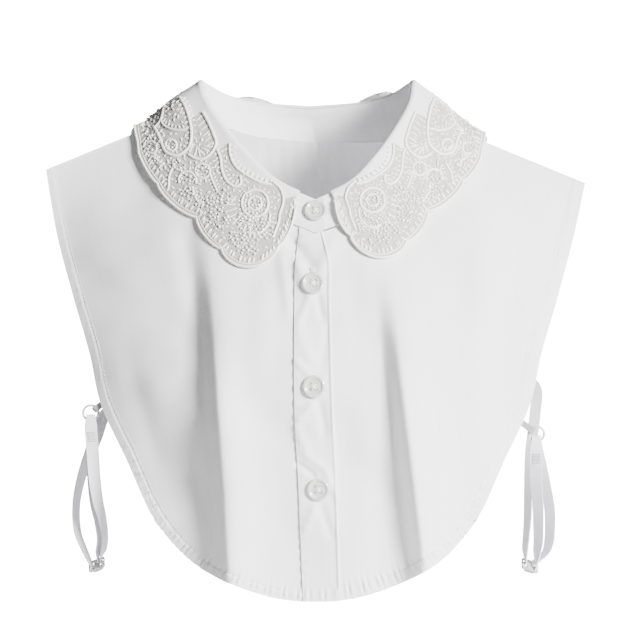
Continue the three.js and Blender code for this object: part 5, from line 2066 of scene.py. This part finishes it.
@dataclass
class Buttons:
    """Four-hole shirt buttons of pearly plastic, sewn on with crossed thread."""

    neck: NeckLine
    bib: Bib
    palette: Palette
    # From the back's middle round the rim to the dish: radius and height
    profile: tuple[tuple[float, float], ...] = (
        (0.0, 0.1), (6.6, 0.1), (7.3, 0.35), (7.7, 0.95), (7.72, 1.45), (7.4, 2.05), (6.9, 2.35),
        (6.3, 2.38), (5.7, 2.1), (5.1, 1.65), (4.4, 1.45), (2.5, 1.4), (0.0, 1.38),
    )
    hole_radius: float = 0.95
    hole_spread: float = 1.85
    collar_share: float = 0.608
    first_drop: float = 34.3
    pitch: float = 69.7
    count: int = 3
    sides: int = 64
    # A strand of thread over the button: shares of the way from its middle to a hole, and heights in mm
    strand: tuple[tuple[float, float], ...] = (
        (-1.05, 0.2), (-0.95, 1.2), (-0.6, 1.72), (0.0, 1.95), (0.6, 1.72), (0.95, 1.2), (1.05, 0.2)
    )
    # The stitches along a buttonhole: first, last and pitch, in mm
    hole_from: float = -9.6
    hole_to: float = 6.0
    hole_pitch: float = 0.5

    def shape(self, name: str, place: np.ndarray, normal: np.ndarray) -> bpy.types.Object:
        """Spins the button's profile and cuts its four holes.

        Args:
            name: The piece's name.
            place: The middle of its back, in mm.
            normal: The direction that it faces.

        Returns:
            The new object.
        """
        across = unit(np.cross(np.array([0.0, 0.0, 1.0]), normal))
        up = np.cross(normal, across)
        frame = np.stack([across, up, normal])
        outline = SmoothPath(np.array([(r, 0.0, h) for r, h in self.profile[1:-1]])).even(0.35)
        rings = np.vstack([[0.0, 0.0, self.profile[0][1]], outline, [0.0, 0.0, self.profile[-1][1]]])
        turn = np.arange(self.sides) * math.tau / self.sides
        inner = rings[1:-1]
        points = [rings[:1]]
        wave = np.stack([np.cos(turn), np.sin(turn)], axis=1)
        for r, _, h in inner:
            points.append(np.column_stack([wave * r, np.full(self.sides, h)]))
        points.append(rings[-1:])
        points = np.vstack(points) @ frame + place
        index = 1 + np.arange(len(inner) * self.sides).reshape(len(inner), self.sides)
        turned = np.roll(index, -1, axis=1)
        walls = np.stack([index[:-1], turned[:-1], turned[1:], index[1:]], axis=-1).reshape(-1, 4)
        first, final = np.zeros(self.sides, int), np.full(self.sides, len(points) - 1)
        back = np.stack([turned[0], index[0], first, first], axis=1)
        front = np.stack([index[-1], turned[-1], final, final], axis=1)
        piece = new_piece(name, points, np.vstack([walls, back, front]), points[:, (0, 2)] * MM)
        cutter = Bundle()
        for sx, sy in ((1, 1), (-1, 1), (-1, -1), (1, -1)):
            axis = place + self.hole_spread * (sx * across + sy * up)
            ends = np.stack([axis - 1.0 * normal, axis + 1.0 * normal, axis + 4.0 * normal])
            cutter.sweep(ends, np.repeat(across[None], 3, axis=0), round_section(self.hole_radius, 20))
        tool = cutter.piece(name + "_holes")
        modifier = piece.modifiers.new("holes", "BOOLEAN")
        modifier.operation = "DIFFERENCE"
        modifier.solver = "EXACT"
        modifier.object = tool
        graph = bpy.context.evaluated_depsgraph_get()
        cut = bpy.data.meshes.new_from_object(piece.evaluated_get(graph), depsgraph=graph)
        piece.modifiers.remove(modifier)
        piece.data = cut
        bpy.data.objects.remove(tool)
        cut.set_sharp_from_angle(angle=math.radians(50.0))
        return dress(piece, self.palette.pearl, "pearl_plastic", name)

    def thread(self, bundle: Bundle, place: np.ndarray, normal: np.ndarray) -> None:
        """Adds the crossed strands that hold a button."""
        across = unit(np.cross(np.array([0.0, 0.0, 1.0]), normal))
        up = np.cross(normal, across)
        for sx, sy in ((1, 1), (1, -1)):
            way = unit(sx * across + sy * up)
            aside = np.cross(normal, way)
            reach = self.hole_spread * math.sqrt(2.0)
            for step in (-0.36, 0.0, 0.36):
                path = []
                for s, h in self.strand:
                    beside = aside * step * (1.0 - 0.4 * abs(s))
                    path.append(place + way * reach * s + beside + normal * h)
                smooth = SmoothPath(np.array(path)).even(0.35)
                bundle.sweep(smooth, np.repeat(aside[None], len(smooth), axis=0), round_section(0.21, 6))

    def buttonhole(
        self, seats: Seats, place: np.ndarray, normal: np.ndarray, up: np.ndarray, shift: float
    ) -> None:
        """Adds the close stitches round a buttonhole, of which the ends show beside the button."""
        across = np.cross(up, normal)
        for at in np.arange(self.hole_from, self.hole_to, self.hole_pitch):
            for sign in (-1.0, 1.0):
                middle = place + up * (at + shift) + across * sign * 0.75
                seats.add(middle, across, normal)

    def seats(self) -> list[tuple[str, np.ndarray, np.ndarray]]:
        """Gives each button's name, the middle of its back and the direction that it faces."""
        top, foot = self.neck.fold_point(0.0), self.neck.seam(0.0)
        rise = unit(top - foot)
        faced = np.array([0.0, -rise[2], rise[1]])
        found = [("button_collar", lerp(foot, top, self.collar_share) + faced * 1.3, faced)]
        form = self.bib.form
        for i in range(self.count):
            z = float(foot[2]) - self.first_drop - i * self.pitch
            down = form.down_share(z)
            x = float(self.bib.placket_edge(down) + self.bib.placket_span(down) / 2.0)
            normal = form.front_normal(x, z)
            y = float(form.front_y(x, z)) - self.bib.cad_wall - self.bib.clearance
            found.append((f"button_{i + 1}", np.array([x, y, z]) + normal * 1.1, normal))
        return found

    def build(self) -> None:
        """Makes the buttons, their thread and the buttonholes."""
        bundle, holes = Bundle(), Seats()
        for name, place, normal in self.seats():
            self.shape(name, place, normal)
            self.thread(bundle, place, normal)
            if name == "button_collar":
                self.buttonhole(holes, place - normal * 0.4, normal, np.array([1.0, 0.0, 0.0]), -1.5)
            else:
                down = unit(np.cross(np.array([1.0, 0.0, 0.0]), normal))
                self.buttonhole(holes, place - normal * 0.55, normal, down, -1.6)
        dress(bundle.piece("button_thread"), self.palette.thread, "cotton")
        piece = Sprinkle(Form.BAR, self.palette.thread).piece(
            "buttonhole_stitches", holes, 1.5, 0.55, 0.5, 0.1, 4
        )
        dress(piece, self.palette.thread, "cotton")


# The elastic straps with their rings and sliders


@dataclass(frozen=True)
class StrapSide:
    """One side's strap, whose places are the same as those of its solid.

    Each row gives out, the share of the strap's width outside the ring; back, the share of the way to
    the back panel; down, the share of the drop to the slider; and turn, in degrees.
    """

    name: str
    side: int
    ring_down: float
    stand_off: float
    drop: float
    slider_out: float
    slider_tilt: float
    bow: float
    falling: tuple[tuple[float, float, float, float], ...]
    rising: tuple[tuple[float, float, float, float], ...]


LEFT_STRAP = StrapSide(
    name="left",
    side=-1,
    ring_down=0.612,
    stand_off=9.6,
    drop=103.6,
    slider_out=-0.45,
    slider_tilt=22.0,
    bow=0.0,
    falling=(
        (-0.93, 0.9, 0.03, 5.0), (-0.41, 0.72, 0.155, 15.0), (0.23, 0.6, 0.29, 32.0),
        (0.81, 0.54, 0.435, 46.0), (1.19, 0.5, 0.61, 54.0), (1.08, 0.48, 0.783, 55.0),
        (0.5, 0.47, 0.91, 62.0),
    ),
    rising=(
        (-0.98, 0.45, 0.91, 66.0), (-1.1, 0.4, 0.831, 64.0), (-0.92, 0.31, 0.706, 54.0),
        (-0.55, 0.21, 0.58, 32.0), (-0.29, 0.12, 0.426, 14.0), (-0.14, 0.05, 0.242, 0.0),
    ),
)

RIGHT_STRAP = StrapSide(
    name="right",
    side=1,
    ring_down=0.6555,
    stand_off=13.6,
    drop=90.0,
    slider_out=-0.5,
    slider_tilt=20.0,
    bow=6.0,
    falling=(
        (0.05, 0.95, -0.33, -30.0), (-0.03, 0.86, -0.17, -24.0), (-0.2, 0.78, -0.03, -24.0),
        (-0.45, 0.68, 0.14, -34.0), (-0.6, 0.58, 0.44, -48.0), (-0.67, 0.53, 0.66, -54.0),
        (-0.85, 0.49, 0.87, -62.0),
    ),
    rising=(
        (0.05, 0.45, 0.9, -56.0), (0.16, 0.4, 0.82, -44.0), (0.16, 0.3, 0.68, -36.0),
        (0.13, 0.21, 0.55, -30.0), (0.0, 0.12, 0.4, -26.0), (-0.05, 0.05, 0.25, -18.0),
    ),
)


@dataclass
class Fastening:
    """One side's elastic strap, its slider, the ring that it hangs in and the ring's tab."""

    bib: Bib
    palette: Palette
    plan: StrapSide
    width: float = 8.6
    wall: float = 1.0
    bib_wall: float = 1.2
    clearance: float = 0.5
    ring_radius: float = 5.1
    ring_wire: float = 0.9
    ring_share: float = 0.72
    ring_seat: float = 3.2
    ring_approach: float = 8.7
    underlap: float = 7.0
    tab_width: float = 4.4
    tab_underlap: float = 5.0
    tab_angle: float = 38.0
    # The bar tack on the stretch that rises to the ring: from and to in mm below the ring, pitch and slant
    tack_from: float = 13.5
    tack_to: float = 20.0
    tack_pitch: float = 0.55
    tack_slant: float = 0.09
    ring_steps: int = 64
    strap_steps: int = 12
    slider_thickness: float = 2.0
    slider_pitch: float = 32.0
    slider_bar: float = 1.4
    middle_bar: float = 4.8
    slider_corner: float = 1.6
    slot: float = 2.3
    # The way round the slider's middle bar: shares across and up
    slider_turn: tuple[tuple[float, float], ...] = (
        (-1.0, 0.84), (-1.0, 0.0), (-0.8, -1.0), (0.0, -1.16), (0.8, -1.0), (1.0, 0.0), (1.0, 0.84)
    )

    def __post_init__(self) -> None:
        """Finds where the ring, the strap's sewn end and the slider are."""
        plan, form = self.plan, self.bib.form
        self.wrap = self.ring_wire + self.clearance + self.wall / 2.0
        height = form.height_at(plan.ring_down)
        tab_height = height + self.ring_radius
        self.tab_x = plan.side * self.edge_x(tab_height, 0.0)
        ring_x = plan.side * (self.edge_x(height, 0.0) + plan.stand_off)
        ring_y = float(form.front_y(self.tab_x, tab_height)) + self.bib_wall + 2.0 * self.clearance
        ring_y += self.wall / 2.0 + self.wrap
        anchor_height = height - plan.falling[0][2] * plan.drop + self.underlap
        anchor_x = plan.side * (self.edge_x(anchor_height, self.bib.back_inset) - self.width / 4.0)
        anchor_edge = plan.side * self.edge_x(anchor_height + self.underlap, self.bib.back_inset)
        anchor_y = float(form.back_y(anchor_edge, anchor_height)) - self.bib_wall
        anchor_y = anchor_y - self.clearance - self.wall / 2.0
        self.ring = np.array([ring_x, ring_y, height])
        self.anchor = np.array([anchor_x, anchor_y, anchor_height])
        slider_y = lerp(ring_y, anchor_y, plan.falling[-1][1])
        slider_x = ring_x + plan.side * plan.slider_out * self.width
        self.slider = np.array([slider_x, slider_y, height - plan.drop])

    def edge_x(self, height: float, inset: float) -> float:
        """Gives how far out the bib's edge is at a height."""
        path = self.bib.edge(1, inset).at(np.linspace(0.0, 9.0, 451))
        return float(np.interp(-height, -path[:, 2], path[:, 0]))

    def tilted(self, x: float, z: float) -> np.ndarray:
        """Turns a step in the slider's own frame into the collar's."""
        tilt = math.radians(self.plan.side * self.plan.slider_tilt)
        cos, sin = math.cos(tilt), math.sin(tilt)
        return np.array([x * cos + z * sin, 0.0, -x * sin + z * cos])

    def stations(self) -> tuple[np.ndarray, np.ndarray, np.ndarray]:
        """Gives the strap's places, the directions of its width, and its widths."""
        plan, ring = self.plan, self.ring
        places, asides, widths = [self.anchor], [np.array([1.0, 0.0, 0.0])], [self.width]

        def station(row: tuple[float, ...]) -> np.ndarray:
            """Gives the place that a row stands for."""
            out, back, down, _ = row
            y = lerp(ring[1], self.anchor[1], back)
            return np.array([ring[0] + plan.side * out * self.width, y, ring[2] - down * plan.drop])

        def add(place: np.ndarray, turn: float, width: float = self.width) -> None:
            """Adds a place with the direction of the strap's width there."""
            places.append(place)
            asides.append(np.array([math.cos(math.radians(turn)), math.sin(math.radians(turn)), 0.0]))
            widths.append(width)

        for row in plan.falling:
            add(station(row), row[3])
        half_turn = (self.middle_bar + self.slot) / 2.0
        under = self.slider_thickness / 2.0 + self.clearance + self.wall / 2.0
        for across, lift in self.slider_turn:
            add(self.slider + self.tilted(across * half_turn, lift * under), 90.0)
            asides[-1] = -plan.side * self.slider_aside()
        before = np.array([0.0, -self.wrap, 0.0])
        for row in plan.rising:
            add(station(row) + before, row[3])
        low = np.array([0.0, 0.0, -self.ring_approach])
        add(ring + before + low, 0.0)
        for i in range(5):
            angle = i * math.pi / 4.0
            step = np.array([0.0, -self.wrap * math.cos(angle), self.wrap * math.sin(angle) - self.ring_seat])
            add(ring + step, 0.0, self.ring_share * self.width)
        add(ring - before + low, 0.0)
        rows = plan.rising[::-1]
        for i, row in enumerate(rows):
            turn = math.radians(row[3])
            normal = np.array([-math.sin(turn), math.cos(turn), 0.0])
            place = station(row) + before + 2.0 * self.wrap * normal
            place[0] += plan.side * plan.bow * math.sin(math.pi * (i + 1) / (len(plan.rising) + 1))
            add(place, row[3])
        add(self.slider + self.tilted(0.35 * half_turn, 0.8 * under), 90.0)
        asides[-1] = -plan.side * self.slider_aside()
        return np.array(places), np.array(asides), np.array(widths)

    def slider_aside(self) -> np.ndarray:
        """Gives the direction of the slider's bars, which rise towards the back."""
        pitch = math.radians(self.slider_pitch)
        return np.array([0.0, math.cos(pitch), math.sin(pitch)])

    def strap(self) -> None:
        """Makes the strap as one ribbed ribbon from end to end."""
        places, asides, widths = self.stations()
        at = np.arange((len(places) - 1) * self.strap_steps + 1) / self.strap_steps
        path = SmoothPath(places).at(at)
        rows = np.arange(len(places))
        across = np.stack([np.interp(at, rows, asides[:, k]) for k in range(3)], axis=1)
        width = np.interp(at, rows, widths)
        along = unit(np.gradient(path, axis=0))
        face = unit(np.cross(along, across))
        section = np.stack([ribbed_section(w, self.wall) for w in width])
        bundle = Bundle()
        bundle.sweep(path, face, section)
        piece = bundle.piece(f"elastic_{self.plan.name}", 70.0)
        dress(piece, self.palette.elastic, "elastic", f"strap_{self.plan.name}")
        seats = Seats()
        first = 1 + len(self.plan.falling) + len(self.slider_turn)
        behind = (at < first) | (at > first + len(self.plan.rising) + 1)
        # The tack is on the stretch that rises to the ring, so places on the others count as far off
        for i, low in enumerate(np.arange(self.tack_from, self.tack_to, self.tack_pitch)):
            k = int(np.argmin(np.abs(path[:, 2] - (self.ring[2] - low)) + 100.0 * behind))
            lean = across[k] + np.array([0.0, 0.0, self.tack_slant if i % 2 else -self.tack_slant])
            place = path[k] - np.array([0.0, self.wall / 2.0 + 0.05, 0.0])
            seats.add(place, lean, np.array([0.0, -1.0, 0.0]))
        piece = Sprinkle(Form.BAR, self.palette.tack).piece(
            f"bartack_{self.plan.name}", seats, self.width * 0.76, 0.55, 0.45, 0.05, 6
        )
        dress(piece, self.palette.tack, "elastic")

    def ring_piece(self) -> None:
        """Makes the ring."""
        turn = np.arange(self.ring_steps) * math.tau / self.ring_steps
        path = self.ring + self.ring_radius * np.stack([np.cos(turn), 0.0 * turn, np.sin(turn)], axis=1)
        ups = np.repeat([[0.0, 1.0, 0.0]], len(path), axis=0)
        bundle = Bundle()
        bundle.sweep(path, ups, round_section(self.ring_wire, 16), closed=True)
        name = self.plan.name
        dress(bundle.piece(f"o_ring_{name}"), self.palette.clear, "clear_plastic", f"ring_{name}")

    def tab(self) -> None:
        """Makes the tab, which goes round the ring's wire and back under the front's edge."""
        side, angle = self.plan.side, math.radians(self.tab_angle)
        inward = np.array([-side * math.cos(angle), 0.0, math.sin(angle)])
        across = np.array([side * math.sin(angle), 0.0, math.cos(angle)])
        length = abs(self.ring[0] - self.tab_x) + self.tab_underlap + self.ring_radius
        turn_at = self.ring_radius - self.wrap - self.clearance
        marks = [(length, -self.wrap), ((length + turn_at) / 2.0, -self.wrap)]
        for i in range(13):
            turn = i * math.pi / 12.0
            marks.append((turn_at + self.wrap * (1.0 - math.sin(turn)), -self.wrap * math.cos(turn)))
        marks += [((length + turn_at) / 2.0, self.wrap), (length, self.wrap)]
        path = np.array([self.ring + inward * s + np.array([0.0, b, 0.0]) for s, b in marks])
        along = unit(np.gradient(path, axis=0))
        bundle = Bundle()
        bundle.sweep(path, unit(np.cross(along, across)), ribbed_section(self.tab_width, self.wall))
        name = self.plan.name
        # Painted shade: the tab's webbing is coloured darker than the elastic, partly for the shadow it lies
        # in
        dress(bundle.piece(f"web_tab_{name}", 70.0), self.palette.webbing, "elastic", f"tab_{name}")

    def slider_piece(self) -> None:
        """Makes the slider: a rounded frame with a wide middle bar between two slots."""
        long = self.middle_bar + 2.0 * (self.slot + self.slider_bar)
        wide = self.width + 2.0 * self.clearance + 2.0 * self.slider_bar
        half_long, half_wide = (long - self.slider_bar) / 2.0, (wide - self.slider_bar) / 2.0
        corner = self.slider_corner
        marks = []
        for sx, sy, start in ((1, 1, 0.0), (-1, 1, 90.0), (-1, -1, 180.0), (1, -1, 270.0)):
            for step in np.linspace(0.0, 90.0, 7):
                turn = math.radians(start + step)
                x = sx * (half_long - corner) + corner * math.cos(turn)
                marks.append((x, sy * (half_wide - corner) + corner * math.sin(turn)))
        aside = self.slider_aside()
        path = np.array([self.slider + self.tilted(x, 0.0) + y * aside for x, y in marks])
        up = unit(np.cross(self.tilted(1.0, 0.0), aside))
        bundle = Bundle()
        frame = band_section(self.slider_bar, self.slider_thickness * 0.9)
        bundle.sweep(path, np.repeat(up[None], len(path), axis=0), frame, closed=True)
        reach = np.linspace(-half_wide, half_wide, 9)
        path = np.array([self.slider + y * aside for y in reach])
        bar = band_section(self.middle_bar, self.slider_thickness)
        bundle.sweep(path, np.repeat(up[None], len(path), axis=0), bar)
        name = self.plan.name
        dress(bundle.piece(f"buckle_{name}"), self.palette.clear, "clear_plastic", f"slider_{name}")

    def build(self) -> None:
        """Makes the fastening."""
        self.strap()
        self.ring_piece()
        self.tab()
        self.slider_piece()


# The studio


@dataclass(frozen=True)
class Lamp:
    """A soft square light: its place and side in mm and its power in watts."""

    name: str
    place: tuple[float, float, float]
    side: float
    power: float


@dataclass
class Studio:
    """A pale floor, soft light and a level camera far off."""

    scale: float = 0.68
    centre_x: float = 3.06
    centre_z: float = -125.8
    front_y: float = -45.0
    distance: float = 14000.0
    pixels: int = 640
    floor_height: float = -368.0
    floor_radius: float = 450.0
    floor_corners: int = 48
    # How bright the white surroundings look, and how much they light the collar
    seen_white: float = 20.0
    lit_white: float = 0.15
    # The place that the lamps face, in mm
    aim: tuple[float, float, float] = (0.0, -30.0, -140.0)
    lamps: tuple[Lamp, ...] = (
        Lamp("window", (1880.0, -1900.0, 640.0), 800.0, 385.0),
        Lamp("fill", (-900.0, -2400.0, -500.0), 1600.0, 10.0),
        Lamp("rear", (900.0, 2500.0, 900.0), 1800.0, 150.0),
    )

    def camera(self) -> None:
        """Sets the camera where it looks level along +Y."""
        data = bpy.data.cameras.new("camera")
        data.lens = data.sensor_width * self.distance / (self.scale * self.pixels)
        data.clip_end = 100.0
        camera = bpy.data.objects.new("camera", data)
        camera.location = Vector((self.centre_x, self.front_y - self.distance, self.centre_z)) * MM
        camera.rotation_euler = (math.pi / 2.0, 0.0, 0.0)
        bpy.context.scene.collection.objects.link(camera)
        bpy.context.scene.camera = camera

    def floor(self) -> None:
        """Lays a pale floor under the collar."""
        material, tree = new_material("white_paper_floor")
        shader = add_node(
            tree, "ShaderNodeBsdfPrincipled", {"Base Color": linear("#F4F4F4"), "Roughness": 0.9}
        )
        add_node(tree, "ShaderNodeOutputMaterial", {"Surface": shader.outputs["BSDF"]})
        turn = np.arange(self.floor_corners) * math.tau / self.floor_corners
        points = np.stack([np.cos(turn), np.sin(turn), np.zeros_like(turn)], axis=1) * self.floor_radius
        points[:, 2] = self.floor_height
        mesh = bpy.data.meshes.new("floor")
        mesh.from_pydata((points * MM).tolist(), [], [list(range(self.floor_corners))])
        mesh.materials.append(material)
        floor = bpy.data.objects.new("floor", mesh)
        bpy.context.scene.collection.objects.link(floor)

    def world(self) -> None:
        """Surrounds the collar with even white light."""
        world = bpy.data.worlds.new("studio")
        world.use_nodes = True
        tree = world.node_tree
        tree.nodes.clear()
        white = (1.0, 1.0, 1.0, 1.0)
        seen = add_node(tree, "ShaderNodeBackground", {"Color": white, "Strength": self.seen_white})
        lit = add_node(tree, "ShaderNodeBackground", {"Color": white, "Strength": self.lit_white})
        path = add_node(tree, "ShaderNodeLightPath")
        mixed = add_node(
            tree,
            "ShaderNodeMixShader",
            {0: path.outputs["Is Camera Ray"], 1: lit.outputs[0], 2: seen.outputs[0]},
        )
        add_node(tree, "ShaderNodeOutputWorld", {"Surface": mixed.outputs[0]})
        bpy.context.scene.world = world

    def light(self, lamp: Lamp) -> None:
        """Hangs a soft light that faces the collar."""
        data = bpy.data.lights.new(lamp.name, "AREA")
        data.size = lamp.side * MM
        data.energy = lamp.power
        hung = bpy.data.objects.new(lamp.name, data)
        hung.location = Vector(lamp.place) * MM
        way = Vector(self.aim) * MM - hung.location
        hung.rotation_euler = way.to_track_quat("-Z", "Y").to_euler()
        bpy.context.scene.collection.objects.link(hung)

    def build(self) -> None:
        """Sets up the studio."""
        self.camera()
        self.floor()
        self.world()
        for lamp in self.lamps:
            self.light(lamp)


def main() -> None:
    """Builds the collar's pieces in order."""
    logging.basicConfig(level=logging.INFO, format="%(name)s: %(message)s")
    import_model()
    palette = Palette.make(Finishes())
    form = BodyForm()
    neck = NeckLine(form)
    Studio().build()
    bib = Bib(form, neck, palette)
    bib.build()
    collar = Collar(form, neck, palette)
    collar.build()
    LeafLace(collar, palette).build()
    Buttons(neck, bib, palette).build()
    for plan in (LEFT_STRAP, RIGHT_STRAP):
        Fastening(bib, palette, plan).build()


if __name__ == "__main__":
    main()
